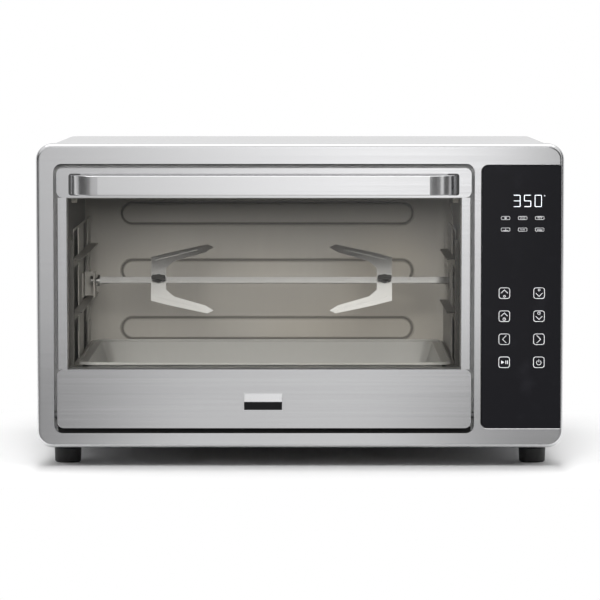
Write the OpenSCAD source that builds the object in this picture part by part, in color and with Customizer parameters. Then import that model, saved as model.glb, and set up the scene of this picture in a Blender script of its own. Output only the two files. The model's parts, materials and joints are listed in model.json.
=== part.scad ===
// Countertop air fryer toaster oven with a drop-down glass door, a rotisserie spit and a side convection fan.
// X runs to the right, Y to the back, Z up. The origin lies under the middle of the oven, on the counter.

/* [Casing] */
// Width of the front frame
body_w = 500; // [480:1:540]
// Height of the front frame
body_h = 289; // [280:1:310]
// Depth from the face of the front frame to the outside of the rear panel
body_d = 350; // [340:1:400]
// Height of the frame above the counter
foot_h = 17.5; // [16:0.5:24]
// Diameter of a foot
foot_dia = 26.4; // [20:0.1:30]
// Distance of a foot's middle from the side of the frame
foot_in = 26.8; // [24:0.1:32]
// Thickness of the sheet steel
sheet_t = 1; // [0.8:0.1:1.2]
// Step from the front frame in to the outer wrap
wrap_inset = 2; // [1.5:0.1:2.5]
// Depth of the rear spacers that keep the oven off the wall
spacer_d = 20; // [10:1:30]

/* [Front frame] */
// Depth of the front frame
frame_d = 26; // [25.5:0.5:32]
// Outer corner radius of the front frame
frame_r = 15; // [12:0.5:16]
// Rounding of the outer front edge
frame_edge_r = 4; // [2:0.1:4]
// Thickness of the frame's face
frame_face_t = 3; // [2.5:0.1:3.5]
// Thickness of the frame's outer wall
frame_wall_t = 4; // [3.5:0.1:5]
// Width of the face at the left of the door opening
border_left = 16.4; // [16:0.1:22]
// Height of the face above the door opening
border_top = 19; // [17:0.1:24]
// Height of the face below the door opening
border_bottom = 14; // [13:0.1:15]
// Width of the post between the door opening and the control glass
post_w = 7; // [6.5:0.1:12]
// Corner radius of the door opening
opening_r = 8; // [5:0.5:12]
// Depth of the turned-in edge round the door opening
opening_return_d = 5; // [4:0.1:6]
// Thickness of the turned-in edge round the door opening
opening_return_t = 2; // [1.5:0.1:2.5]

/* [Control panel] */
// Width of the control glass
panel_w = 75; // [70:0.5:80]
// Width of the frame strip at the right of the control glass
panel_edge = 2.6; // [2.2:0.1:3.2]
// Height of the face above the control glass
panel_top = 20.7; // [18:0.1:26]
// Height of the face below the control glass
panel_bottom = 19.2; // [17:0.1:24]
// Bevel on the frame round the control glass
panel_bevel = 0.9; // [0.5:0.1:1.2]
// Corner radius of the control glass
panel_r = 6; // [3:0.5:8]
// Wall of the plastic carrier behind the control glass
carrier_t = 2; // [1.5:0.1:2.5]
// Height of the display module
display_h = 17; // [12:0.5:24]

/* [Door] */
// Gap between the door and the sides of its opening
door_gap_side = 3; // [2:0.1:4]
// Gap above the door
door_gap_top = 4; // [2:0.1:6]
// Gap below the door
door_gap_bottom = 4.7; // [4.2:0.1:6]
// Step from the frame's face back to the door's face
door_recess = 1; // [0.5:0.1:1.5]
// Height of the top rail
rail_h = 28; // [26:0.5:34]
// Corner radius of the top rail
rail_r = 6; // [4:0.5:9]
// Height of the lower panel
lower_h = 56; // [52:0.5:60]
// Width of a side trim
trim_w = 10; // [8:0.1:12]
// Thickness of the outer door skins
skin_t = 1.2; // [1:0.1:1.5]
// Distance from the door's face to the glass
glass_set = 4; // [3.5:0.1:5]
// Thickness of the door glass
glass_t = 4; // [3:0.1:5]
// Overlap of the glass behind the skins
glass_lap = 6; // [4:0.1:7]
// Depth of the inner frame behind the glass
inner_d = 11; // [10:0.1:11.5]
// Thickness of the inner frame's sheet
inner_t = 1.2; // [1:0.1:1.6]

/* [Handle] */
// Reach of the handle in front of the door's face
handle_reach = 30; // [26:0.5:31]
// Height of the handle bar
handle_h = 18.5; // [14:0.5:21]
// Height of the handle's middle above the lower edge of the top rail
handle_rise = 12.5; // [11:0.1:14]
// Thickness of the handle bar
handle_t = 8; // [6:0.1:9]
// Distance from the door's edge to the end of the handle
handle_end = 13.7; // [11:0.1:30]
// Rounding of the bar's long edges
handle_edge_r = 0.8; // [0.6:0.1:2.5]
// Thickness of the mounts between the handle and the rail
mount_t = 3; // [2:0.1:4]

/* [Hinge] */
// Radius of a hinge pin
pin_r = 3; // [2.5:0.1:3.2]
// Distance of the hinge axis behind the frame's face
hinge_back = 13; // [12.5:0.1:13.5]
// Height of the hinge axis above the lower edge of the door
hinge_rise = 11.5; // [11:0.1:12]
// Running clearance of pins and shafts, on the radius
run_gap = 0.05; // [0.03:0.01:0.08]
// Wire thickness of a hinge spring
spring_wire = 1.2; // [1:0.1:1.4]
// Turns of a hinge spring
spring_turns = 4; // [3:1:5]

/* [Cavity] */
// Step from the door opening in to the cavity walls
cavity_inset = 11.5; // [11:0.1:14]
// Height of the cavity floor above the lower edge of the door opening
floor_rise = 9; // [8:0.1:12]
// Drop of the cavity ceiling below the upper edge of the door opening
ceiling_drop = 17; // [12:0.1:20]
// Depth of the cavity
cavity_d = 295; // [285:1:300]
// Radius of the cavity's rear corners
cavity_r = 12; // [8:0.5:16]
// Length of a pressed bead on the back wall
bead_l = 306; // [280:1:320]
// Height of a pressed bead
bead_h = 26; // [20:0.5:30]
// Distance between the beads
bead_pitch = 60; // [54:0.5:64]
// Radius of the half-round line of a bead
bead_r = 2; // [1.5:0.1:2.5]

/* [Racks and trays] */
// Distance of the rack guides from the cavity walls
guide_off = 5.5; // [5:0.1:8]
// Inward reach of the rack ledges
ledge_w = 8; // [6:0.1:9]
// Height of the lowest ledge above the cavity floor
ledge_first = 53; // [50:0.5:56]
// Distance between the ledges
ledge_pitch = 51; // [48:0.5:52]
// Height of a window above its ledge
window_h = 42; // [34:0.5:43]
// Depth of the bake tray
tray_h = 23; // [16:0.5:26]
// Length of the bake tray from front to back
tray_l = 265; // [240:1:270]
// Width of the bake tray's rim
tray_rim = 7; // [6.5:0.1:8]
// Thickness of the trays
tray_t = 1; // [0.8:0.1:1.5]
// Height of the crumb tray's edge
crumb_h = 7; // [5:0.1:9]

/* [Heating] */
// Radius of a heating element
element_r = 4; // [3:0.1:5]
// Drop of the upper elements below the ceiling
upper_drop = 16; // [14:0.5:20]
// Height of the lower elements above the floor
lower_rise = 18; // [16.5:0.5:19]
// Distance of the front and rear elements from the cavity's middle
element_spread = 80; // [60:1:95]
// Radius of a ceramic holder
holder_r = 8; // [7:0.1:9]
// Thickness of a ceramic holder
holder_t = 5; // [4:0.1:5.4]

/* [Spit] */
// Side of the square spit rod
rod_side = 6; // [5:0.1:7]
// Distance of the spit behind the cavity mouth
spit_back = 145; // [138:1:150]
// Height of the spit above the cavity floor
spit_rise = 125; // [120:0.5:128]
// Turn of the spit as it rests
spit_turn = 15; // [0:1:45]
// Place of the left fork, from the spit's left end
fork_left_at = 68; // [50:0.5:75]
// Place of the right fork, from the cavity's right wall
fork_right_at = 70; // [60:0.5:80]
// Length of a fork
fork_l = 62; // [50:0.5:65]
// Height of a fork's plate
fork_h = 44; // [40:0.5:46]
// Width of a fork's plate
fork_plate_w = 15; // [13:0.1:17]
// Thickness of a fork
fork_t = 2; // [1.5:0.1:2.5]
// Width across the wings of a thumbscrew
wing_w = 14; // [12:0.1:16]
// Radius of a thumbscrew's thread
screw_r = 2; // [1.5:0.1:2.3]

/* [Fan] */
// Clearance of the fan chamber from the spit motor and from the cavity's rear corner
fan_room = 3; // [2:0.1:6]
// Clearance of the fan cover below the upper element's holder
fan_below = 8; // [6:0.5:12]
// Width of the fan cover's rim
cover_rim = 6; // [5:0.1:7]
// Width of the fan chamber's rim
chamber_rim = 5; // [4:0.1:6]
// Blades of the convection fan
fan_blades = 10; // [8:1:12]
// Depth of the fan chamber
chamber_d = 28; // [26:0.5:30]
// Radius of the fan shaft
shaft_r = 2.5; // [2:0.1:3]

/* [Hidden] */
$fn = 48;

// Clearances: loose fit between sheets, fit of parts that slide, reach of a cut past a face
fit = 0.3;
slide = 0.2;
cut = 1;

// Depth levels, from the handle to the rear spacers
total_d = handle_reach - door_recess + body_d + spacer_d;
front_y = -total_d / 2 + handle_reach - door_recess;
face_y = front_y + door_recess;
glass_y = face_y + glass_set;
inner_y = glass_y + glass_t;
bulk_y = front_y + frame_d;
cav_y0 = bulk_y + sheet_t;
cav_y1 = cav_y0 + cavity_d;
rear_y = front_y + body_d;

// Heights and sides of the casing
top_z = foot_h + body_h;
wrap_w = body_w - 2 * wrap_inset;
wrap_h = body_h - 2 * wrap_inset;
wrap_z0 = foot_h + wrap_inset;
wrap_r = frame_r - wrap_inset;
mid_z = foot_h + body_h / 2;
flange_w = 45;
pan_z = wrap_z0 + sheet_t;

// Door opening and control glass
open_w = body_w - border_left - post_w - panel_w - panel_edge;
open_x0 = -body_w / 2 + border_left;
open_x1 = open_x0 + open_w;
open_z0 = foot_h + border_bottom;
open_z1 = top_z - border_top;
panel_x0 = open_x1 + post_w;
panel_x1 = panel_x0 + panel_w;
panel_z0 = foot_h + panel_bottom;
panel_z1 = top_z - panel_top;
panel_step = 0.2;

// Door
door_x0 = open_x0 + door_gap_side;
door_x1 = open_x1 - door_gap_side;
door_z0 = open_z0 + door_gap_bottom;
door_z1 = open_z1 - door_gap_top;
door_w = door_x1 - door_x0;
door_cx = (door_x0 + door_x1) / 2;
view_x0 = door_x0 + trim_w;
view_x1 = door_x1 - trim_w;
view_z0 = door_z0 + lower_h;
view_z1 = door_z1 - rail_h;
skin_lap = 0.5;
ring_x0 = door_x0 + skin_t;
ring_x1 = door_x1 - skin_t;
ring_z0 = door_z0 + hinge_rise - pin_r - 3;
ring_z1 = door_z1 - skin_t;
hinge_y = front_y + hinge_back;
hinge_z = door_z0 + hinge_rise;
bracket_gap = 3.4;
bracket_t = 3;
pin_in = 11.5;

// Handle
bar_x0 = door_x0 + handle_end;
bar_x1 = door_x1 - handle_end;
bar_r = handle_reach - mount_t;
bar_z = view_z1 + handle_rise;
mount_over = 2;
handle_screw_r = 2;
handle_head_r = 4;
handle_head_h = 2;
handle_bite = 8;

// Cavity
cav_x0 = open_x0 + cavity_inset;
cav_x1 = open_x1 - cavity_inset;
cav_w = cav_x1 - cav_x0;
cav_cx = (cav_x0 + cav_x1) / 2;
cav_z0 = open_z0 + floor_rise;
cav_z1 = open_z1 - ceiling_drop;
cav_h = cav_z1 - cav_z0;

// Rack guides
guide_y0 = cav_y0 + 4;
guide_y1 = cav_y1 - cavity_r - 4;
guide_z0 = cav_z0 + lower_rise + holder_r + 2;
guide_z1 = cav_z0 + ledge_first + 2 * ledge_pitch + 28;
window_front = [10, 82];
window_rear = [156, 232];
window_slot = [244, 262];
left_face = cav_x0 + guide_off;
right_face = cav_x1 - guide_off;
ledge_z = [for (i = [0 : 2]) cav_z0 + ledge_first + i * ledge_pitch];

// Bake tray and crumb tray
tray_gap = 3;
tray_x0 = left_face + tray_gap;
tray_x1 = right_face - tray_gap;
tray_w = tray_x1 - tray_x0;
tray_y0 = cav_y0 + 7;
tray_z1 = ledge_z[0] + tray_t;
tray_slope = 7;

// Heating
upper_z = cav_z1 - upper_drop;
lower_z = cav_z0 + lower_rise;
element_y = [cav_y0 + cavity_d / 2 - element_spread, cav_y0 + cavity_d / 2 + element_spread];

// Spit, from its left journal to the drive socket in the right wall
spit_y = cav_y0 + spit_back;
spit_z = cav_z0 + spit_rise;
rod_x0 = left_face + 8;
journal_l = 8;
journal_r = rod_side / 2 - 0.1;
socket_r = 8;
socket_x0 = right_face + 2;
socket_pocket = 9;
socket_l = 13.5;
socket_shaft_r = 3.5;
socket_shaft_l = 12;
rod_x1 = socket_x0 + socket_pocket - 0.5;
fork_left_x = rod_x0 + fork_left_at;
fork_right_x = cav_x1 - fork_right_at;
hub_half = rod_side / 2 + 3.5;
spit_motor_x = cav_x1 + sheet_t;
spit_motor_r = 24;
socket_room = 1.5;
collar_w = 6;
gear_l = 17;
gear_cap_l = 3;
gear_cap_r = 9;
gear_bore = 14;
gear_ear_out = 7;
gear_ear_t = 2;
gear_ear_w = 10;
gear_hole_r = 2;
cradle_t = 1.5;
cradle_in = 3.2;
cradle_half = 14;
cradle_low = 16;
cradle_h = 24;
spit_motor_gap = socket_x0 + socket_l + 1 - spit_motor_x;

// Convection fan in the right wall, between the spit motor and the rear corner
chamber_over = 4;
fan_y0 = spit_y + spit_motor_r + fan_room;
fan_y1 = cav_y1 - cavity_r - fan_room;
fan_y = (fan_y0 + fan_y1) / 2;
fan_hole_r = (fan_y1 - fan_y0) / 2 - chamber_rim - chamber_over;
fan_r = fan_hole_r - 3;
fan_z = upper_z - holder_r - fan_below - fan_hole_r - cover_rim;
chamber_x = cav_x1 + sheet_t;
chamber_out = chamber_x + chamber_d;
boss_l = 6;
motor_x = chamber_out + boss_l;
motor_l = 18;
core_half = 26;
core_low = 44;
core_r = 4;
cap_t = 3;
cap_r = 12;
winding_x = 14;
winding_w = 8;
winding_h = 16;
winding_low = 36;
fan_plate_in = 9;
fan_hub_r = 6;
fan_hub_front = 6;
fan_hub_back = 4;
blade_t = 1.2;
blade_reach = 14;
blade_root = 16;
blade_short = 4;
cooler_off = 5;
cooler_x = motor_x + motor_l + cooler_off;
cooler_t = 8;
cooler_hub_r = 8;
cooler_blades = 7;
cooler_root = 7;
cooler_blade_l = 24;
cooler_blade_w = 12;
shaft_in = 8;
shaft_past = 2;

// The right rack guide stops short of the fan cover
guide_mid_y = fan_y - fan_hole_r - cover_rim - 2;
guide_step_z = fan_z - fan_hole_r - cover_rim - 5;

// Rear spacers and rear screws
spacer_l = 64;
spacer_w = 18;
spacer_in = 75;
spacer_drop = 34;
screw_in = 15;
case_head_r = 3.6;
case_dome_r = 4.4;
case_dome_low = 2;
case_screw_r = 1.8;
case_screw_l = 8;
rear_lip = 9;
pan_h = 14;

// Right compartment
cord_x = body_w / 2 - 52;
cord_z = foot_h + 36;
cord_r = 4;

// Drawing helpers

// Rectangle with round corners, drawn from one corner to the other
module round_rect(x0, y0, x1, y1, r) {
    union() {
        translate([x0 + r, y0]) square([x1 - x0 - 2 * r, y1 - y0]);
        translate([x0, y0 + r]) square([x1 - x0, y1 - y0 - 2 * r]);
        for (x = [x0 + r, x1 - r], y = [y0 + r, y1 - r]) translate([x, y]) circle(r);
    }
}

// Slot with round ends, lying along the first axis
module slot(l, w) {
    union() {
        square([l - w, w], center = true);
        for (s = [-1, 1]) translate([s * (l - w) / 2, 0]) circle(w / 2);
    }
}

// Extrude an X-Z drawing backwards from the level y
module upright(y, t) {
    translate([0, y + t, 0]) rotate([90, 0, 0]) linear_extrude(t) children();
}

// Extrude a Y-Z drawing to the right from the level x
module sideways(x, t) {
    translate([x, 0, 0]) rotate([90, 0, 90]) linear_extrude(t) children();
}

// Extrude an X-Y drawing upwards from the level z
module flat(z, t) {
    translate([0, 0, z]) linear_extrude(t) children();
}

// Round bar along X
module bar_x(x0, x1, y, z, r) {
    translate([x0, y, z]) rotate([0, 90, 0]) cylinder(r = r, h = x1 - x0);
}

// Turned form along X: the profile has the radius first and the way along X second
module turned_x(x, y, z) {
    translate([x, y, z]) rotate([0, 90, 0]) rotate_extrude() children();
}

// Follow a rectangle with round corners with one section: four straight runs and four quarter turns
module swept_rim(w, h, r) {
    for (k = [0 : 3]) {
        run = k % 2 == 0 ? h - 2 * r : w - 2 * r;
        side = k % 2 == 0 ? w / 2 - r : h / 2 - r;
        rotate([0, 0, 90 * k]) {
            translate([side, run / 2, 0]) rotate([90, 0, 0]) linear_extrude(run) children();
            translate([side, run / 2, 0]) rotate_extrude(angle = 90) children();
        }
    }
}

// Casing

// Section of the front frame: outwards first, then back from the face, with the outer edge rounded
module frame_section() {
    difference() {
        union() {
            translate([0, -frame_face_t]) square([frame_r, frame_face_t]);
            translate([frame_r - frame_wall_t, -frame_d]) square([frame_wall_t, frame_d]);
        }
        translate([frame_r - frame_edge_r, -frame_edge_r]) difference() {
            square(frame_edge_r + cut);
            circle(frame_edge_r);
        }
    }
}

// Bevel round the opening for the control glass: its lower, left and upper edges with the corners between
module glass_bevel() {
    r = panel_r;
    x0 = panel_x0 - slide + r;
    x1 = panel_x1 + slide;
    z0 = panel_z0 - slide + r;
    z1 = panel_z1 + slide - r;
    translate([0, front_y, 0]) rotate([90, 0, 0]) {
        translate([x1, z0, 0]) rotate([90, 0, -90]) linear_extrude(x1 - x0) bevel_section(r);
        translate([x0, z0, 0]) rotate([90, 0, 180]) linear_extrude(z1 - z0) bevel_section(r);
        translate([x0, z1, 0]) rotate([90, 0, 90]) linear_extrude(x1 - x0) bevel_section(r);
        translate([x0, z0, 0]) rotate([0, 0, 180]) rotate_extrude(angle = 90) bevel_section(r);
        translate([x0, z1, 0]) rotate([0, 0, 90]) rotate_extrude(angle = 90) bevel_section(r);
    }
}

// Section that the bevel cuts away, outwards from the corner's middle first, then forward from the face
module bevel_section(r) {
    past = 0.5;
    polygon([[r - past, -panel_bevel - past], [r + panel_bevel + past, past], [r - past, past]]);
}

module front_frame() {
    color("lightgray") difference() {
        union() {
            translate([0, front_y, mid_z]) rotate([90, 0, 0]) {
                swept_rim(body_w, body_h, frame_r) frame_section();
                translate([frame_r - body_w / 2, frame_r - body_h / 2, -frame_face_t])
                    cube([body_w - 2 * frame_r, body_h - 2 * frame_r, frame_face_t]);
            }
            upright(front_y + frame_face_t / 2, opening_return_d - frame_face_t / 2)
                round_rect(open_x0 - opening_return_t, open_z0 - opening_return_t,
                    open_x1 + opening_return_t, open_z1 + opening_return_t, opening_r + opening_return_t);
        }
        upright(front_y - cut, opening_return_d + 2 * cut)
            round_rect(open_x0, open_z0, open_x1, open_z1, opening_r);
        upright(front_y - cut, frame_face_t + cut) panel_outline(slide);
        glass_bevel();
    }
}

// Vent slots: a pattern of rows and columns in the plane of the drawing
module vents(columns, rows, l, w, pitch_l, pitch_w) {
    for (i = [0 : columns - 1], j = [0 : rows - 1])
        translate([(i - (columns - 1) / 2) * pitch_l, (j - (rows - 1) / 2) * pitch_w]) slot(l, w);
}

module outer_wrap() {
    half = wrap_w / 2;
    color("silver") difference() {
        upright(bulk_y, rear_y - sheet_t - bulk_y) difference() {
            round_rect(-half, wrap_z0, half, wrap_z0 + wrap_h, wrap_r);
            round_rect(-half + sheet_t, wrap_z0 + sheet_t, half - sheet_t, wrap_z0 + wrap_h - sheet_t,
                wrap_r - sheet_t);
            translate([-half + flange_w, wrap_z0 - cut]) square([wrap_w - 2 * flange_w, sheet_t + 2 * cut]);
        }
        sideways(half - sheet_t - cut, sheet_t + 2 * cut)
            translate([fan_y, fan_z]) vents(3, 9, 26, 4, 34, 11);
    }
}

module rear_panel() {
    half = wrap_w / 2;
    lip = sheet_t + fit;
    color("darkgray") difference() {
        union() {
            upright(rear_y - sheet_t, sheet_t)
                round_rect(-half, wrap_z0, half, wrap_z0 + wrap_h, wrap_r);
            upright(rear_y - rear_lip, rear_lip - sheet_t) difference() {
                round_rect(-half + lip, wrap_z0 + lip, half - lip, wrap_z0 + wrap_h - lip, wrap_r - lip);
                round_rect(-half + lip + sheet_t, wrap_z0 + lip + sheet_t, half - lip - sheet_t,
                    wrap_z0 + wrap_h - lip - sheet_t, wrap_r - lip - sheet_t);
            }
        }
        upright(rear_y - sheet_t - cut, sheet_t + 2 * cut) {
            translate([cav_cx, mid_z + 70]) vents(6, 4, 36, 5, 46, 12);
            translate([(cav_x1 + half) / 2, fan_z - 20]) vents(1, 9, 56, 5, 60, 12);
            translate([cord_x, cord_z]) circle(cord_r + 3.2);
            for (p = case_screw_places()) translate(p) circle(case_screw_r + slide);
        }
    }
}

// Places of the screws round the rear panel, in X and Z
function case_screw_places() = [for (x = [-1, 0, 1], z = [-1, 1])
    [x * (wrap_w / 2 - screw_in), mid_z + z * (wrap_h / 2 - screw_in)]];

module case_screws() {
    color("gray") for (p = case_screw_places())
        translate([p[0], rear_y, p[1]]) rotate([-90, 0, 0]) {
            rotate_extrude() intersection() {
                translate([0, -case_dome_low]) circle(case_dome_r);
                square([case_head_r, case_dome_r]);
            }
            translate([0, 0, -case_screw_l]) cylinder(r = case_screw_r, h = case_screw_l);
        }
}

module base_pan() {
    half = wrap_w / 2 - wrap_r - 1;
    lip = rear_lip + fit;
    color("darkgray") difference() {
        sideways(-half, 2 * half) difference() {
            translate([cav_y0, pan_z]) square([rear_y - lip - cav_y0, pan_h]);
            translate([cav_y0 + sheet_t, pan_z + sheet_t])
                square([rear_y - lip - cav_y0 - 2 * sheet_t, pan_h]);
        }
        flat(pan_z - cut, sheet_t + 2 * cut) {
            translate([(cav_x1 + half) / 2, fan_y]) rotate(90) vents(3, 4, 26, 4, 34, 11);
            translate([cav_cx, cav_y0 + cavity_d / 2]) vents(4, 3, 40, 5, 60, 40);
        }
    }
}

// Foot: a turned rubber foot with a groove near its top, seated under the wrap's flange
module feet() {
    r = foot_dia / 2;
    h = wrap_z0;
    color([0.1, 0.1, 0.1])
        for (x = [-1, 1], y = [bulk_y + r + fit, rear_y - 45])
            translate([x * (body_w / 2 - foot_in), y, 0]) rotate_extrude()
                polygon([[0, 0], [r - 2, 0], [r - 0.8, 1.2], [r - 0.3, h - 6], [r - 1.8, h - 5.4],
                    [r - 1.8, h - 3.6], [r, h - 3], [r, h], [0, h]]);
}

module rear_spacers() {
    color([0.12, 0.12, 0.12])
        for (x = [-1, 1]) difference() {
            upright(rear_y, spacer_d)
                translate([x * (wrap_w / 2 - spacer_in), wrap_z0 + wrap_h - spacer_drop])
                    slot(spacer_l, spacer_w);
            upright(rear_y - cut, spacer_d - 3 + cut)
                translate([x * (wrap_w / 2 - spacer_in), wrap_z0 + wrap_h - spacer_drop])
                    slot(spacer_l - 6, spacer_w - 6);
        }
}

// Bush that the mains lead leaves by: flange outside, neck through the rear panel, snap ring inside
module cord_bush() {
    r = cord_r + 3;
    color([0.1, 0.1, 0.1]) translate([cord_x, rear_y, cord_z]) rotate([90, 0, 0]) rotate_extrude()
        polygon([[cord_r, -6], [r + 1, -6], [r + 3, -3], [r + 3, 0], [r, 0], [r, sheet_t + fit],
            [r + 1, sheet_t + fit], [r, 7], [cord_r, 7]]);
}

// Control panel

// Outline of the control glass, larger by d: round at the left, square at the right edge of the frame
module panel_outline(d) {
    r = panel_r - slide + d;
    union() {
        round_rect(panel_x0 - d, panel_z0 - d, panel_x1 + d, panel_z1 + d, r);
        translate([panel_x1 + d - 2 * r, panel_z0 - d]) square([2 * r, panel_z1 - panel_z0 + 2 * d]);
    }
}

module control_glass() {
    color([0.07, 0.07, 0.08]) upright(front_y + panel_step, frame_face_t - panel_step) panel_outline(0);
}

carrier_x0 = panel_x0 + 3;
carrier_x1 = body_w / 2 - frame_wall_t - fit;
carrier_z0 = panel_z0 + 3;
carrier_z1 = panel_z1 - 3;
carrier_y = front_y + frame_face_t;
display_z = panel_z1 - 39;
display_w = 44;
board_y = carrier_y + 8;
board_t = 1.6;
chip_t = 2.5;
chip_side = 18;
driver_w = 12;
driver_h = 8;
array_in = 22;
array_pitch = 12;
array_w = 6;
array_h = 10;
ribbon_w = 32;
ribbon_h = 7;
power_off = 8;
power_back = 30;
power_l = 105;
power_h = 72;
relay_w = 16;
relay_l = 20;
relay_h = 26;
relay_pitch = 27;
relay_in = 8;
relay_up = 10;
capacitor_l = 20;
capacitor_r = 6;
capacitor_in = 20;
capacitor_pitch = 16;
capacitor_up = 56;
sink_w = 14;
sink_l = 26;
sink_t = 3;
sink_in = 64;
sink_up = 12;
fin_count = 6;
fin_t = 2;
fin_pitch = 7;

// Opening of the bulkhead behind the carrier, and the strip under the door
pass_side = 8;
pass_end = 20;
pass_r = 6;
sill_low = 1;
sill_gap = 1.2;
sill_in = 2;
sill_d = 8;

// Carrier: a box that is open to the back, with a window for the display and bosses for the board
module control_carrier() {
    color([0.15, 0.15, 0.16]) difference() {
        union() {
            difference() {
                upright(carrier_y, bulk_y - carrier_y)
                    round_rect(carrier_x0, carrier_z0, carrier_x1, carrier_z1, 4);
                upright(carrier_y + carrier_t, bulk_y - carrier_y)
                    round_rect(carrier_x0 + carrier_t, carrier_z0 + carrier_t, carrier_x1 - carrier_t,
                        carrier_z1 - carrier_t, 3);
            }
            for (x = [carrier_x0 + 9, carrier_x1 - 9], z = [carrier_z0 + 10, carrier_z1 - 10])
                translate([x, board_y, z]) rotate([90, 0, 0]) cylinder(r = 3, h = board_y - carrier_y - 1);
        }
        upright(carrier_y - cut, carrier_t + 2 * cut)
            translate([(carrier_x0 + carrier_x1) / 2, display_z])
                square([display_w + 2 * fit, display_h + 2 * fit], center = true);
    }
}

// Touch and display board with its chips and a ribbon socket on the back
module control_board() {
    cx = (carrier_x0 + carrier_x1) / 2;
    h = carrier_z1 - carrier_z0;
    color("darkgreen") {
        upright(board_y, board_t) translate([carrier_x0 + carrier_t + 1, carrier_z0 + carrier_t + 1])
            square([carrier_x1 - carrier_x0 - 2 * carrier_t - 2,
                carrier_z1 - carrier_z0 - 2 * carrier_t - 2]);
        upright(board_y + board_t, chip_t) {
            translate([cx - chip_side / 2, display_z - 0.25 * h]) square(chip_side);
            translate([cx - driver_w / 2, display_z - 0.4 * h]) square([driver_w, driver_h]);
            for (i = [0 : 3]) translate([cx - array_in + array_pitch * i, display_z - 0.5 * h])
                square([array_w, array_h]);
        }
        upright(board_y + board_t, ribbon_h) translate([cx - ribbon_w / 2, display_z - 0.62 * h])
            square([ribbon_w, ribbon_h]);
    }
}

module display_module() {
    color([0.2, 0.2, 0.22]) upright(carrier_y + fit, board_y - carrier_y - fit)
        translate([(carrier_x0 + carrier_x1) / 2, display_z]) square([display_w, display_h], center = true);
}

// Power board standing on the base pan, with relays, capacitors and a finned heat sink
module power_board() {
    x = (cav_x1 + wrap_w / 2) / 2 + power_off;
    y = cav_y0 + power_back;
    z = pan_z + sheet_t;
    color("seagreen") {
        translate([x, y, z]) cube([board_t, power_l, power_h]);
        translate([x - relay_w, y + relay_in, z + relay_up]) for (i = [0, 1])
            translate([0, relay_pitch * i, 0]) cube([relay_w, relay_l, relay_h]);
        for (i = [0 : 2])
            bar_x(x - capacitor_l, x, y + capacitor_in + capacitor_pitch * i, z + capacitor_up, capacitor_r);
        translate([x - sink_w, y + sink_in, z + sink_up]) for (i = [0 : fin_count - 1])
            translate([0, 0, fin_pitch * i]) cube([sink_w, sink_l, fin_t]);
        translate([x - sink_t, y + sink_in, z + sink_up])
            cube([sink_t, sink_l, fin_pitch * (fin_count - 1) + fin_t]);
    }
}

// Cavity

// Front plate with the oven mouth, carried by the frame and the wrap
module front_bulkhead() {
    lip = wrap_inset + sheet_t + fit;
    color("silver") upright(bulk_y, sheet_t) difference() {
        round_rect(-body_w / 2 + lip, foot_h + lip, body_w / 2 - lip, top_z - lip, frame_r - lip);
        translate([cav_x0, cav_z0]) square([cav_w, cav_h]);
        round_rect(carrier_x0 + pass_side, carrier_z0 + pass_end, carrier_x1 - pass_side,
            carrier_z1 - pass_end, pass_r);
    }
}

// Black strip under the door that hides the bulkhead's foot: a folded angle in front of the bulkhead
module door_sill() {
    z0 = foot_h + frame_wall_t + sill_low;
    z1 = door_z0 - sill_gap;
    color([0.1, 0.1, 0.1]) sideways(open_x0 + sill_in, open_w - 2 * sill_in)
        polygon([[bulk_y, z0], [bulk_y, z1], [bulk_y - sheet_t, z1], [bulk_y - sheet_t, z0 + sheet_t],
            [bulk_y - sill_d, z0 + sheet_t], [bulk_y - sill_d, z0]]);
}

// Lays the section of a bead round the three slot-shaped lines of the back wall
module beads() {
    r = bead_h / 2 - bead_r;
    run = bead_l - bead_h;
    for (i = [-1 : 1], s = [-1, 1]) translate([cav_cx, cav_y1, spit_z + i * bead_pitch]) rotate([-90, 0, 0]) {
        translate([s * run / 2, 0, 0]) rotate([0, 0, -90 * s])
            rotate_extrude(angle = 180) translate([r, 0]) children();
        translate([-run / 2, s * r, 0]) rotate([90, 0, 90]) linear_extrude(run) children();
    }
}

// Back wall with round corners and three pressed beads that stand out at its rear
module cavity_back() {
    y0 = cav_y1 - cavity_r - 6;
    color("silver") difference() {
        union() {
            flat(cav_z0, cav_h) difference() {
                round_rect(cav_x0 - sheet_t, y0 - 40, cav_x1 + sheet_t, cav_y1 + sheet_t, cavity_r + sheet_t);
                round_rect(cav_x0, y0 - 40 + sheet_t, cav_x1, cav_y1, cavity_r);
                translate([cav_x0 - 2 * cut, y0 - 50]) square([cav_w + 4 * cut, 50]);
            }
            beads() intersection() {
                circle(bead_r + sheet_t);
                translate([-2 * bead_r, sheet_t / 2]) square([4 * bead_r, 2 * bead_r]);
            }
        }
        beads() {
            circle(bead_r);
            translate([-bead_r, -cut]) square([2 * bead_r, cut]);
        }
    }
}

// Side wall from the mouth to the back wall's turned corner, with the element holes
module side_wall(x) {
    sideways(x, sheet_t) difference() {
        translate([cav_y0, cav_z0]) square([cavity_d - cavity_r - 6, cav_h]);
        for (y = element_y, z = [lower_z, upper_z]) translate([y, z]) circle(element_r + 0.6);
        children();
    }
}

module cavity_left_wall() {
    color("silver") side_wall(cav_x0 - sheet_t);
}

module cavity_right_wall() {
    color("silver") side_wall(cav_x1) {
        translate([fan_y, fan_z]) circle(fan_hole_r);
        translate([spit_y, spit_z]) circle(socket_r + socket_room);
        translate([probe_y, probe_z]) circle(probe_r + slide);
    }
}

module cavity_ceiling() {
    color("silver") {
        flat(cav_z1, sheet_t) translate([cav_x0 - sheet_t, cav_y0])
            square([cav_w + 2 * sheet_t, cavity_d + sheet_t]);
        flat(cav_z1 + sheet_t, 2) translate([cav_cx, cav_y0 + cavity_d / 2]) vents(1, 3, 240, 10, 10, 70);
    }
}

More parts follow.
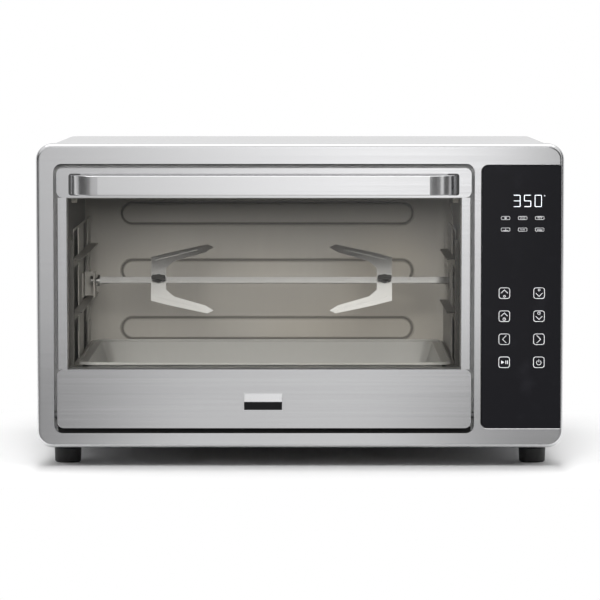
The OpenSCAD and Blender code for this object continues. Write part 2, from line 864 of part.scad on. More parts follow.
module cavity_floor() {
    color("silver") flat(cav_z0 - sheet_t, sheet_t) translate([cav_x0 - sheet_t, cav_y0])
        square([cav_w + 2 * sheet_t, cavity_d + sheet_t]);
}

// Outline of a rack guide's sheet in Y and Z, stepped down behind y1 where s is below the top
module guide_sheet(y1, step) {
    top = guide_z1;
    polygon([[guide_y0, guide_z0], [guide_y1, guide_z0], [guide_y1, step], [y1, step], [y1, top - 10],
        [y1 - 10, top], [guide_y0 + 10, top], [guide_y0, top - 10]]);
}

// Lanced window and the ledge that is folded in from its lower edge
module guide_window(y, z, h) {
    translate([guide_y0 + y[0], z]) square([y[1] - y[0], h]);
}

// Rack guide: a sheet with turned edges, windows and ledges; side is -1 at the left and 1 at the right
module rack_guide(side, rear_y1, step, columns) {
    face = side < 0 ? left_face : right_face;
    sheet_x = side < 0 ? face - sheet_t : face;
    wall = side < 0 ? cav_x0 : cav_x1;
    foot_x = min(wall, sheet_x + (side < 0 ? 0 : sheet_t));
    foot_l = guide_off - sheet_t;
    heights = [window_h, window_h, 26];
    difference() {
        union() {
            sideways(sheet_x, sheet_t) difference() {
                guide_sheet(rear_y1, step);
                for (c = columns, i = [0 : 2])
                    if (c == 0) guide_window(window_front, ledge_z[i], heights[i]);
                    else if (c == 1) guide_window(window_rear, ledge_z[i], heights[i]);
                    else if (i < 2) guide_window(window_slot, ledge_z[i] + 24, 14);
            }
            sideways(foot_x, foot_l) {
                translate([guide_y0, guide_z0 + 10]) square([sheet_t, guide_z1 - guide_z0 - 20]);
                translate([guide_y1 - sheet_t, guide_z0]) square([sheet_t, step - guide_z0 - 10]);
            }
            for (i = [0 : 2]) sideways(side < 0 ? face : face - ledge_w, ledge_w)
                translate([guide_y0, ledge_z[i] - sheet_t])
                    square([(step > ledge_z[i] ? guide_y1 : rear_y1) - guide_y0, sheet_t]);
        }
        children();
    }
}

module rack_guide_left() {
    color("silver") rack_guide(-1, guide_y1, guide_z1 - 20, [0, 1, 2]);
}

module rack_guide_right() {
    color("silver") rack_guide(1, guide_mid_y, guide_step_z, [0])
        bar_x(right_face - ledge_w - cut, cav_x1, spit_y, spit_z, socket_r + 1.5);
}

// Heating elements

// Element rod from wall to wall, with a thin terminal at each end
module element(y, z) {
    over = 5;
    color([0.35, 0.36, 0.34]) {
        bar_x(cav_x0 - sheet_t - over, cav_x1 + sheet_t + over, y, z, element_r);
        bar_x(cav_x0 - sheet_t - over - 7, cav_x1 + sheet_t + over + 7, y, z, 1.5);
    }
}

module upper_element_front() {
    element(element_y[0], upper_z);
}

module upper_element_rear() {
    element(element_y[1], upper_z);
}

module lower_element_front() {
    element(element_y[0], lower_z);
}

module lower_element_rear() {
    element(element_y[1], lower_z);
}

// Ceramic holders on the inner faces of the walls
module element_holders() {
    color("ivory") for (y = element_y, z = [lower_z, upper_z], s = [0, 1])
        turned_x(s == 0 ? cav_x0 : cav_x1 - holder_t, y, z)
            translate([element_r + slide, 0]) square([holder_r - element_r - slide, holder_t]);
}

// Trays

// Shallow pan with a front lip to pull it out by
module crumb_tray() {
    gap = 5;
    y1 = cav_y1 - 16;
    color("darkgray") difference() {
        union() {
            flat(cav_z0, crumb_h) round_rect(cav_x0 + gap, cav_y0 + 3, cav_x1 - gap, y1, 6);
            upright(cav_y0 + 3, tray_t) round_rect(cav_cx - 50, cav_z0, cav_cx + 50, cav_z0 + crumb_h + 3, 3);
        }
        flat(cav_z0 + tray_t, crumb_h + 5)
            round_rect(cav_x0 + gap + tray_t, cav_y0 + 3 + tray_t, cav_x1 - gap - tray_t, y1 - tray_t, 5);
    }
}

// Outline of the bake tray, drawn in by d from its rim
module tray_outline(d, r) {
    round_rect(tray_x0 + d, tray_y0 + d, tray_x1 - d, tray_y0 + tray_l - d, r);
}

// Bake tray with sloping walls and a flat rim with a rolled edge, resting on the lowest ledges
module bake_tray() {
    z0 = tray_z1 - tray_h;
    color([0.25, 0.25, 0.26]) difference() {
        union() {
            flat(tray_z1 - tray_t, tray_t) tray_outline(0, 18);
            flat(tray_z1 - tray_t, tray_t + 1.5) difference() {
                tray_outline(0, 18);
                tray_outline(1.5, 16.5);
            }
            hull() {
                flat(tray_z1 - tray_t, tray_t / 2)
                    tray_outline(tray_rim + ledge_w - tray_gap - 4, 12, $fn = 32);
                flat(z0, tray_t / 2)
                    tray_outline(tray_rim + ledge_w - tray_gap - 4 + tray_slope, 10, $fn = 32);
            }
        }
        hull() {
            flat(tray_z1 + 0.01, tray_t)
                tray_outline(tray_rim + ledge_w - tray_gap - 4 + tray_t, 11, $fn = 32);
            flat(z0 + tray_t, tray_t / 2)
                tray_outline(tray_rim + ledge_w - tray_gap - 4 + tray_slope + tray_t, 9, $fn = 32);
        }
    }
}

// Convection fan

// Dished cover with rings of holes over the fan's opening
module fan_cover() {
    rise = 5;
    ring = (fan_hole_r - 10) / 4;
    color("silver") difference() {
        turned_x(cav_x1, fan_y, fan_z) polygon([[0, -rise], [fan_hole_r - 8, -rise], [fan_hole_r, -sheet_t],
            [fan_hole_r + cover_rim, -sheet_t], [fan_hole_r + cover_rim, 0], [fan_hole_r - 0.4, 0],
            [fan_hole_r - 8.4, -rise + sheet_t], [0, -rise + sheet_t]]);
        for (k = [1 : 4], i = [0 : 6 * k - 1])
            bar_x(cav_x1 - rise - cut, cav_x1 + cut, fan_y + ring * k * cos(60 * i / k),
                fan_z + ring * k * sin(60 * i / k), 2.5);
    }
}

// Chamber: a round cup on the outside of the right wall, with three bosses for the motor
module fan_chamber() {
    r = fan_hole_r + chamber_over;
    color("silver") difference() {
        union() {
            turned_x(chamber_x, fan_y, fan_z)
                polygon([[r + chamber_rim, 0], [r + chamber_rim, sheet_t], [r, sheet_t],
                    [r, chamber_d], [9, chamber_d],
                    [9, chamber_d - sheet_t], [r - sheet_t, chamber_d - sheet_t], [r - sheet_t, 0]]);
            for (i = [0 : 2])
                bar_x(chamber_out - sheet_t / 2, motor_x,
                    fan_y + 20 * sin(120 * i), fan_z + 20 * cos(120 * i), 4);
        }
        for (i = [0 : 2])
            bar_x(chamber_out + 1, motor_x + cut, fan_y + 20 * sin(120 * i), fan_z + 20 * cos(120 * i), 1.7);
    }
}

// Shaded-pole motor: iron core with a coil at its foot and a bearing cap at each end
module fan_motor() {
    color("dimgray") difference() {
        union() {
            sideways(motor_x, motor_l) translate([fan_y, fan_z])
                round_rect(-core_half, -core_low, core_half, core_half, core_r);
            for (x = [motor_x - cap_t, motor_x + motor_l]) bar_x(x, x + cap_t, fan_y, fan_z, cap_r);
        }
        sideways(motor_x - cut, motor_l + 2 * cut) translate([fan_y, fan_z])
            for (s = [-1, 1]) translate([s * winding_x - winding_w / 2, -winding_low])
                square([winding_w, winding_h]);
        bar_x(motor_x - cap_t - cut, motor_x + motor_l + cap_t + cut, fan_y, fan_z, shaft_r + run_gap);
    }
}

module fan_shaft() {
    color("lightgray") bar_x(chamber_x + shaft_in, cooler_x + cooler_t + shaft_past, fan_y, fan_z,
        shaft_r);
}

// Radial fan: back plate, hub and leaning blades that face the oven
module convection_fan() {
    plate_x = chamber_out - fan_plate_in;
    color("silver") difference() {
        union() {
            bar_x(plate_x, plate_x + blade_t, fan_y, fan_z, fan_r);
            bar_x(plate_x - fan_hub_front, plate_x + fan_hub_back, fan_y, fan_z, fan_hub_r);
            translate([plate_x - blade_reach, fan_y, fan_z]) for (i = [0 : fan_blades - 1])
                rotate([360 / fan_blades * i, 0, 0]) translate([0, blade_root, 0]) rotate([24, 0, 0])
                    cube([blade_reach + blade_t / 2, fan_r - blade_root - blade_short, blade_t]);
        }
        bar_x(plate_x - fan_hub_front - cut, plate_x + fan_hub_back + cut, fan_y, fan_z,
            shaft_r + run_gap);
    }
}

// Cooling fan on the outer end of the shaft: a hub with flat pitched blades
module cooling_fan() {
    color("white") difference() {
        union() {
            bar_x(cooler_x, cooler_x + cooler_t, fan_y, fan_z, cooler_hub_r);
            for (i = [0 : cooler_blades - 1]) translate([cooler_x + cooler_t / 2, fan_y, fan_z])
                rotate([360 / cooler_blades * i, 0, 0]) translate([0, cooler_root, 0]) rotate([0, 32, 0])
                    translate([-blade_t / 2, 0, -cooler_blade_w / 2])
                        cube([blade_t, cooler_blade_l, cooler_blade_w]);
        }
        bar_x(cooler_x - cut, cooler_x + cooler_t + cut, fan_y, fan_z, shaft_r + run_gap);
    }
}

// Rotisserie

// Put a form drawn along the spit's own axis, front face towards -Y, in its place and rest position
module on_spit(x) {
    translate([x, spit_y, spit_z]) rotate([-spit_turn, 0, 0]) children();
}

// Square rod with a turned journal and collar at its left end
module spit_rod() {
    half = rod_side / 2;
    color("silver") on_spit(0) {
        translate([rod_x0 + journal_l, -half, -half]) cube([rod_x1 - rod_x0 - journal_l, rod_side, rod_side]);
        bar_x(rod_x0 + 2, rod_x0 + journal_l + 1, 0, 0, journal_r);
        bar_x(rod_x0, rod_x0 + 2.5, 0, 0, half + 1.5);
        bar_x(rod_x0 + journal_l - 1, rod_x0 + journal_l + 1.5, 0, 0, half + 2.5);
    }
}

// Socket with a square pocket, turned by the motor through its shaft
module drive_socket() {
    half = rod_side / 2 + slide;
    color("lightgray") on_spit(0) difference() {
        union() {
            bar_x(socket_x0, socket_x0 + socket_l, 0, 0, socket_r);
            bar_x(socket_x0, socket_x0 + socket_l + socket_shaft_l, 0, 0, socket_shaft_r);
        }
        translate([socket_x0 - cut, -half, -half]) cube([socket_pocket + cut, 2 * half, 2 * half]);
    }
}

// Gear motor with a collar to the wall, two fixing ears and a blind bore for the shaft
module spit_motor() {
    gap = spit_motor_gap;
    ears = spit_motor_r + gear_ear_out;
    cap_end = gap + gear_l + gear_cap_l;
    color("dimgray") difference() {
        union() {
            turned_x(spit_motor_x, spit_y, spit_z) polygon([[socket_r + socket_room, 0],
                [socket_r + collar_w, 0], [socket_r + collar_w, gap], [spit_motor_r, gap],
                [spit_motor_r, gap + gear_l], [gear_cap_r, gap + gear_l], [gear_cap_r, cap_end],
                [0, cap_end], [0, gap], [socket_r + socket_room, gap]]);
            sideways(spit_motor_x + gap, gear_ear_t) translate([spit_y, spit_z]) rotate(90)
                slot(2 * ears + gear_ear_w, gear_ear_w);
        }
        bar_x(spit_motor_x + gap - cut, spit_motor_x + gap + gear_bore, spit_y, spit_z,
            socket_shaft_r + run_gap);
        for (s = [-1, 1])
            bar_x(spit_motor_x + gap - cut, spit_motor_x + gap + gear_ear_t + cut, spit_y, spit_z + s * ears,
                gear_hole_r);
    }
}

// Bracket on the left guide: a folded strap with an open cradle for the journal
module spit_support() {
    t = cradle_t;
    x = rod_x0 + cradle_in;
    y0 = spit_y - cradle_half;
    y1 = spit_y + cradle_half;
    color("silver") difference() {
        flat(spit_z - cradle_low, cradle_h)
            polygon([[left_face, y0], [left_face + t, y0], [left_face + t, y1 - t], [x, y1 - t],
            [x, y0 + 2], [x + t, y0 + 2], [x + t, y1], [left_face, y1]]);
        bar_x(x - cut, x + t + cut, spit_y, spit_z, journal_r + run_gap);
        translate([x - cut, spit_y - journal_r - run_gap, spit_z])
            cube([t + 2 * cut, 2 * (journal_r + run_gap), 30]);
        translate([x - cut, spit_y - 20, spit_z + 4]) rotate([35, 0, 0]) cube([t + 2 * cut, 20, 30]);
    }
}

// Outline of a fork in its own plane, with the plate at the left and two pointed tines to the right
module fork_outline() {
    half = fork_h / 2;
    flare = 13;
    w = 7;
    polygon([[0, -half], [fork_plate_w + 4, -half - 5],
        [fork_l - 6, -half - flare], [fork_l, -half - flare + 3],
        [fork_l - 8, -half - flare + w + 1], [fork_plate_w + 8, -half + w - 3], [fork_plate_w, -half + w + 4],
        [fork_plate_w, half - w - 4], [fork_plate_w + 8, half - w + 3], [fork_l - 8, half + flare - w - 1],
        [fork_l, half + flare - 3], [fork_l - 6, half + flare], [fork_plate_w + 4, half + 5], [0, half]]);
}

// Stiffening groove of a fork: along the plate's edge and out along the middle of each tine
module fork_groove() {
    path = [[fork_l * 0.74, -fork_h / 2 - 7], [4, -fork_h / 2 + 3.6], [4, fork_h / 2 - 3.6],
        [fork_l * 0.74, fork_h / 2 + 7]];
    for (i = [0 : 2]) hull() {
        translate(path[i]) circle(0.6, $fn = 12);
        translate(path[i + 1]) circle(0.6, $fn = 12);
    }
}

// Fork: a pressed plate with a stiffening groove and a square hub behind it, with its tines to the right
module fork() {
    y0 = -hub_half - fork_t;
    hole = rod_side / 2 + slide;
    groove = 0.7;
    difference() {
        union() {
            upright(y0, fork_t) translate([-fork_plate_w / 2, 0]) fork_outline();
            translate([-fork_plate_w / 2, -hub_half, -hub_half])
                cube([fork_plate_w, 2 * hub_half, 2 * hub_half]);
        }
        translate([-fork_plate_w, -hole, -hole]) cube([2 * fork_plate_w, 2 * hole, 2 * hole]);
        rotate([90, 0, 0]) cylinder(r = screw_r + run_gap, h = hub_half + fork_t + cut);
        upright(y0 - cut, cut + groove) translate([-fork_plate_w / 2, 0]) fork_groove();
    }
}

module fork_left() {
    color("silver") on_spit(fork_left_x) fork();
}

module fork_right() {
    color("silver") on_spit(fork_right_x) mirror([1, 0, 0]) fork();
}

// Thumbscrew: threaded stem and a winged head, along -Y from the rod's face
module thumbscrew() {
    tip = rod_side / 2 + slide;
    seat = hub_half + fork_t + 0.5;
    head = 9;
    color([0.1, 0.1, 0.1]) rotate([90, 0, 0]) {
        translate([0, 0, tip]) cylinder(r = screw_r, h = seat + 1 - tip);
        translate([0, 0, seat]) cylinder(r = 4.2, h = 3);
        translate([0, 0, seat + 2.5]) linear_extrude(head - 2.5)
            round_rect(-wing_w / 2, -2.2, wing_w / 2, 2.2, 2.1);
    }
}

module thumbscrew_left() {
    on_spit(fork_left_x) thumbscrew();
}

module thumbscrew_right() {
    on_spit(fork_right_x) thumbscrew();
}

// Door hinge

// Bracket on the front plate with the bore for a pin; side is -1 at the left and 1 at the right
module hinge_bracket(side) {
    x = side < 0 ? open_x0 - bracket_gap - bracket_t : open_x1 + bracket_gap;
    color("darkgray") difference() {
        union() {
            sideways(x, bracket_t) round_rect(hinge_y - 6.5, hinge_z - 12, bulk_y, hinge_z + 14, 3);
            upright(bulk_y - 1.5, 1.5) round_rect(x + (side < 0 ? -5 : -3), hinge_z - 12, x + bracket_t +
                (side < 0 ? 3 : 0), hinge_z + 14, 1);
        }
        bar_x(x - cut, x + bracket_t + cut, hinge_y, hinge_z, pin_r + run_gap);
    }
}

module hinge_bracket_left() {
    hinge_bracket(-1);
}

module hinge_bracket_right() {
    hinge_bracket(1);
}

// Headed pins, from the brackets into the inner frame of the door
module hinge_pins() {
    xl = open_x0 - bracket_gap - bracket_t;
    xr = open_x1 + bracket_gap + bracket_t;
    color("lightgray") {
        bar_x(xl - 1, ring_x0 + pin_in, hinge_y, hinge_z, pin_r);
        bar_x(xl - 1.5, xl, hinge_y, hinge_z, pin_r + 1.5);
        bar_x(ring_x1 - pin_in, xr + 1, hinge_y, hinge_z, pin_r);
        bar_x(xr, xr + 1.5, hinge_y, hinge_z, pin_r + 1.5);
    }
}

// Coil wound round each pin, as one unbroken tube
coil_r = pin_r + 0.35 + spring_wire / 2;
coil_pitch = spring_wire + 0.5;
coil_rings = 12;
coil_sides = 6;
coil_steps = coil_rings * spring_turns;
function coil_point(i, dir) = [dir * (coil_pitch * i / coil_rings), coil_r * cos(360 * i / coil_rings),
    coil_r * sin(360 * i / coil_rings)];
function coil_ring(i, dir) = let (a = 360 * i / coil_rings)
    [for (k = [0 : coil_sides - 1]) let (b = 360 * k / coil_sides)
        coil_point(i, dir) + spring_wire / 2 * [sin(b), cos(b) * cos(a), cos(b) * sin(a)]];

module coil(dir) {
    points = [for (i = [0 : coil_steps]) each coil_ring(i, dir)];
    n = coil_sides;
    sides = [for (i = [0 : coil_steps - 1], k = [0 : n - 1], half = [0, 1])
        let (a = n * i + k, b = n * i + (k + 1) % n)
            half == 0 ? [a, b, b + n] : [a, b + n, a + n]];
    caps = [for (k = [1 : n - 2], e = [0, 1])
        e == 0 ? [0, k + 1, k] : [n * coil_steps, n * coil_steps + k, n * coil_steps + k + 1]];
    polyhedron(points, concat(sides, caps));
}

// Least gap between one turn and the next, measured on the points of the coil
coil_gap = min([for (i = [0 : coil_steps - coil_rings])
    norm(coil_point(i + coil_rings, 1) - coil_point(i, 1))]) - spring_wire;
echo(coil_gap = coil_gap);

module hinge_springs() {
    start = inner_t + spring_wire / 2 + fit;
    color("gray") {
        translate([ring_x0 + start, hinge_y, hinge_z]) coil(1);
        translate([ring_x1 - start, hinge_y, hinge_z]) coil(-1);
    }
}

// Door

// Ring of folded sheet behind the glass: back plate with outer and inner turned edges, and the pin bores
module door_inner_frame() {
    t = inner_t;
    color("darkgray") difference() {
        upright(inner_y, inner_d) difference() {
            round_rect(ring_x0, ring_z0, ring_x1, ring_z1, rail_r - skin_t);
            translate([view_x0, view_z0 + 1]) square([view_x1 - view_x0, view_z1 - view_z0 - 2]);
        }
        upright(inner_y - cut, inner_d - t + cut) difference() {
            round_rect(ring_x0 + t, ring_z0 + t, ring_x1 - t, ring_z1 - t, rail_r - skin_t - t);
            translate([view_x0 - t, view_z0 + 1 - t])
                square([view_x1 - view_x0 + 2 * t, view_z1 - view_z0 - 2 + 2 * t]);
        }
        for (x = [ring_x0, ring_x1]) bar_x(x - 2 * t, x + 2 * t, hinge_y, hinge_z, pin_r + run_gap);
    }
}

module door_glass() {
    color([0.6, 0.65, 0.68, 0.5]) upright(glass_y, glass_t)
        round_rect(view_x0 - glass_lap, view_z0 - glass_lap, view_x1 + glass_lap, view_z1 + glass_lap, 3);
}

// Door skin: a face with round corners and turned-back edges, lower at the edge that meets the glass
module skin(z0, z1, r, open_up) {
    depth = glass_set + glass_t + skin_lap;
    difference() {
        upright(face_y, depth) round_rect(door_x0, z0, door_x1, z1, r);
        upright(face_y + skin_t, depth)
            round_rect(door_x0 + skin_t, z0 + skin_t, door_x1 - skin_t, z1 - skin_t,
            r - skin_t);
        translate([door_x0 - cut, glass_y, open_up ? z1 - r - 1 : z0 - cut])
            cube([door_w + 2 * cut, depth, r + 1 + cut]);
    }
}

module door_top_rail() {
    color("lightgray") difference() {
        skin(view_z1, door_z1, rail_r, false);
        for (x = mount_places())
            translate([x, face_y + skin_t + cut, bar_z]) rotate([90, 0, 0])
                cylinder(r = handle_screw_r + 0.2, h = skin_t + 2 * cut);
    }
}

module door_lower_panel() {
    color("silver") skin(door_z0, view_z0, rail_r, true);
}

// Trim strip with a rounded outer edge, between the lower panel and the top rail
module side_trim(x) {
    color("lightgray") flat(view_z0, view_z1 - view_z0)
        round_rect(x, face_y, x + trim_w - 0.4, glass_y, 1);
}

module door_side_trim_left() {
    side_trim(door_x0 + 0.4);
}

module door_side_trim_right() {
    side_trim(view_x1);
}

// Section of the handle bar: along the radius first, then up
module handle_section(x0) {
    round_rect(x0, -handle_h / 2, x0 + handle_t, handle_h / 2, handle_edge_r);
}

// Middles of the two handle roots along X
function mount_places() = [bar_x0 + handle_t / 2, bar_x1 - handle_t / 2];

// Bowed bar: a straight run and a quarter turn back to the door at each end
module door_handle() {
    y = face_y - mount_t;
    color("lightgray") difference() {
        translate([0, y, bar_z]) {
            translate([bar_x0 + bar_r, 0, 0]) rotate([0, 0, 180])
                rotate_extrude(angle = 90) handle_section(bar_r - handle_t);
            translate([bar_x1 - bar_r, 0, 0]) rotate([0, 0, 270])
                rotate_extrude(angle = 90) handle_section(bar_r - handle_t);
            translate([bar_x0 + bar_r, 0, 0]) rotate([90, 0, 90]) linear_extrude(bar_x1 - bar_x0 - 2 * bar_r)
                handle_section(-bar_r);
        }
        for (x = mount_places()) translate([x, y + cut, bar_z]) rotate([90, 0, 0])
            cylinder(r = handle_screw_r + 0.1, h = handle_bite + 2 * cut);
    }
}

// Dark spacers between the handle's roots and the rail
module handle_mounts() {
    color([0.1, 0.1, 0.1]) for (x = mount_places()) difference() {
        upright(face_y - mount_t, mount_t) round_rect(x - handle_t / 2 - mount_over, bar_z - handle_h / 2 - 1,
            x + handle_t / 2 + mount_over, bar_z + handle_h / 2 + 1, 2.5);
        translate([x, face_y + cut, bar_z]) rotate([90, 0, 0])
            cylinder(r = handle_screw_r + 0.2, h = mount_t + 2 * cut);
    }
}

// Screws from inside the rail into the handle's roots
module handle_screws() {
    color("gray") for (x = mount_places())
        translate([x, face_y + skin_t, bar_z]) rotate([90, 0, 0]) {
            translate([0, 0, -handle_head_h]) cylinder(r = handle_head_r, h = handle_head_h);
            translate([0, 0, -handle_head_h / 2])
                cylinder(r = handle_screw_r, h = handle_head_h / 2 + skin_t + mount_t + handle_bite);
        }
}

// Sensors on the right wall
probe_y = cav_y0 + 205;
probe_z = cav_z1 - 12;
cutout_y = cav_y0 + 60;
cutout_z = cav_z1 - 40;
probe_in = 34;
probe_out = 14;
probe_r = 2;
gland_r = 5;
ear_t = 1.2;
ear_l = 34;
ear_w = 9;
disc_l = 9;
disc_r = 8;
tab_off = 3.5;
tab_t = 1;
tab_w = 6;
tab_l = 8;

// Thin probe through the wall with a gland nut outside
module temperature_probe() {
    color("silver") {
        bar_x(cav_x1 - probe_in, cav_x1 + sheet_t + probe_out, probe_y, probe_z, probe_r);
        translate([cav_x1 + sheet_t, probe_y, probe_z]) rotate([0, 90, 0])
            cylinder(r = gland_r, h = gland_r, $fn = 6);
    }
}

// Disc cut-out with two ears on the outside of the wall
module thermal_cutout() {
    x = cav_x1 + sheet_t;
    color([0.3, 0.25, 0.2]) {
        sideways(x, ear_t) translate([cutout_y, cutout_z]) slot(ear_l, ear_w);
        bar_x(x, x + disc_l, cutout_y, cutout_z, disc_r);
        for (s = [-1, 1])
            translate([x + disc_l - 1, cutout_y + tab_off * s - tab_t / 2, cutout_z - tab_w / 2])
                cube([tab_l, tab_t, tab_w]);
    }
}

outer_wrap();
rear_panel();
base_pan();
front_frame();
control_glass();
control_carrier();
control_board();
display_module();
power_board();
front_bulkhead();
door_sill();
cavity_back();
cavity_left_wall();
cavity_right_wall();
cavity_ceiling();
cavity_floor();
rack_guide_left();
rack_guide_right();
upper_element_front();
upper_element_rear();
lower_element_front();
lower_element_rear();
element_holders();
crumb_tray();
bake_tray();
fan_cover();
fan_chamber();
fan_motor();
fan_shaft();
convection_fan();
cooling_fan();
spit_motor();
drive_socket();
spit_rod();
spit_support();
fork_left();
fork_right();
thumbscrew_left();
thumbscrew_right();
hinge_bracket_left();
hinge_bracket_right();
hinge_pins();
hinge_springs();
door_inner_frame();
door_glass();
door_top_rail();
door_lower_panel();
door_side_trim_left();
door_side_trim_right();
door_handle();
handle_mounts();
handle_screws();
feet();
rear_spacers();
cord_bush();
case_screws();
temperature_probe();
thermal_cutout();
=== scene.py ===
"""Looks of a countertop air fryer toaster oven.

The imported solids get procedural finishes. A bare badge plate, the marks of the touch panel and the
rear screws are modelled here. A plain studio stage with the camera comes last. Sizes are in metres.
"""
import json
import math

import bpy
from bpy.props import FloatProperty, FloatVectorProperty, PointerProperty, StringProperty
from bpy.types import Operator, Panel, PropertyGroup
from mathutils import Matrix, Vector


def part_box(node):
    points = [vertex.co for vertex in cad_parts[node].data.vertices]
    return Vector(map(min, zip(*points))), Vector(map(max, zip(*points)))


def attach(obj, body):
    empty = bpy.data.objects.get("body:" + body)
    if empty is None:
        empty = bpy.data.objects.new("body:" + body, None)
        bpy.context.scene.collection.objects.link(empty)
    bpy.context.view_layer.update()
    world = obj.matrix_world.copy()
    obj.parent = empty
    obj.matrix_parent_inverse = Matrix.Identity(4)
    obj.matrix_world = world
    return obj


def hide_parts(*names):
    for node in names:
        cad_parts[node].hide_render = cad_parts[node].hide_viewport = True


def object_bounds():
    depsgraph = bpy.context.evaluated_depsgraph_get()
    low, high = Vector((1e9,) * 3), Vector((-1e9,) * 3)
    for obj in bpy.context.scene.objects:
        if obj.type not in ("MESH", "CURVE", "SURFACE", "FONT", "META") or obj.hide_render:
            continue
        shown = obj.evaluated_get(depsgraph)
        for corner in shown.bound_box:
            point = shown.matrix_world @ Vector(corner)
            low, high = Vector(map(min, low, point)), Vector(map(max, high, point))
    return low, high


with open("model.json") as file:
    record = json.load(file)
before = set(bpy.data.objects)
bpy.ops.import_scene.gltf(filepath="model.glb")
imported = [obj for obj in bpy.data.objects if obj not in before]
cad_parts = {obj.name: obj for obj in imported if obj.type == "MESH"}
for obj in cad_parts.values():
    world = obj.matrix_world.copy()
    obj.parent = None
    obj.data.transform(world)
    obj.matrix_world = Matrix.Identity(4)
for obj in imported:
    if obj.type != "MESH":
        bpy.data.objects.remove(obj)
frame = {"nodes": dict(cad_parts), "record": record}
cad_low, cad_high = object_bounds()

bl_info = {
    "name": "Toaster oven looks",
    "version": (1, 0, 0),
    "blender": (4, 5, 0),
    "location": "View3D > Sidebar > Oven",
    "description": "Finishes, panel marks, small fittings and stage of a countertop toaster oven",
    "category": "Object",
}

MM = 0.001
CLOSE = 0.01 * MM  # places that differ by less count as one
FACING = 0.9  # least share of a normal along an axis for a face that looks that way
# The side walls' darkening beyond the lining's own tone is painted shade: they are the same lining,
# shaded.
LINING_TONE, SIDE_SHADE_TONE = 0.72, 0.35  # darkening of the oven's lining, and of its side walls beyond that
# The right guide's darkening beyond the rack's own tone is painted shade: it is the same steel as the
# left guide, shaded.
RACK_TONE, RIGHT_GUIDE_SHADE_TONE = 0.6, 0.5  # darkening of the rack guides, and of the right one beyond that
SLOT_COLOUR = {item["slot"]: tuple(item["base_color"][:3]) for item in frame["record"]["materials"]}
NODE_SLOT = {item["node"]: item["material_slot"] for item in frame["record"]["subparts"]}
GLASS_LOW, GLASS_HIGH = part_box("control_glass")
DOOR_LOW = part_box("door_lower_panel")[0]
FRAME_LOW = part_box("front_frame")[0]
REAR_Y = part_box("rear_panel")[1].y
BACK_WALL_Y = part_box("cavity_ceiling")[1].y
MOUTH_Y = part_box("rack_guide_left")[0].y


def colour(name, about, default):
    """A colour that a user may change."""
    return FloatVectorProperty(name=name, description=about, subtype="COLOR", size=3, min=0, max=1,
                               default=default)


def length(name, about, default, high=10.0):
    """A length that a user may change, in metres."""
    return FloatProperty(name=name, description=about, unit="LENGTH", precision=4, default=default,
                         min=0, max=high)


def level(name, about, default, high=100.0):
    """A plain number that a user may change."""
    return FloatProperty(name=name, description=about, default=default, min=0, max=high)


class OvenColours(PropertyGroup):
    """Colours of the oven's finishes."""

    frame_steel: colour("Frame steel", "Front frame, top rail and side trims", SLOT_COLOUR["frame_steel"])
    panel_steel: colour("Panel steel", "Lower door panel and outer wrap", SLOT_COLOUR["brushed_panel"])
    handle_steel: colour("Handle steel", "Bowed handle bar", SLOT_COLOUR["handle_steel"])
    lining: colour("Oven lining", "Walls of the oven space", SLOT_COLOUR["oven_lining"])
    rack_steel: colour("Rack steel", "Rack guides and spit support", SLOT_COLOUR["rack_steel"])
    black_glass: colour("Black glass", "Printed glass of the touch panel",
                        SLOT_COLOUR["control_black_glass"])
    mark_white: colour("Mark white", "Printed marks on the touch panel", (0.72, 0.72, 0.74))
    digit_light: colour("Digit light", "Lit digits behind the touch panel", (0.90, 0.93, 1.0))


class OvenBadge(PropertyGroup):
    """Bare badge plate on the lower door panel."""

    width: length("Width", "Width of the plate", 37.6 * MM)
    height: length("Height", "Height of the plate", 17 * MM)
    thick: length("Thickness", "Thickness of the plate", 0.9 * MM)
    rim: length("Rim", "Width of the raised rim", 0.8 * MM)
    sink: length("Sink", "Depth of the field inside the rim", 0.3 * MM)
    edge: length("Edge", "Width of the softened edges", 0.12 * MM)
    tilt: FloatProperty(name="Tilt", description="Angle by which the upper field leans back",
                        subtype="ANGLE", default=math.radians(3))
    from_left: length("From the left", "Middle of the plate from the panel's left edge", 195.5 * MM)
    above: length("Above the edge", "Middle of the plate above the panel's lower edge", 25.2 * MM)


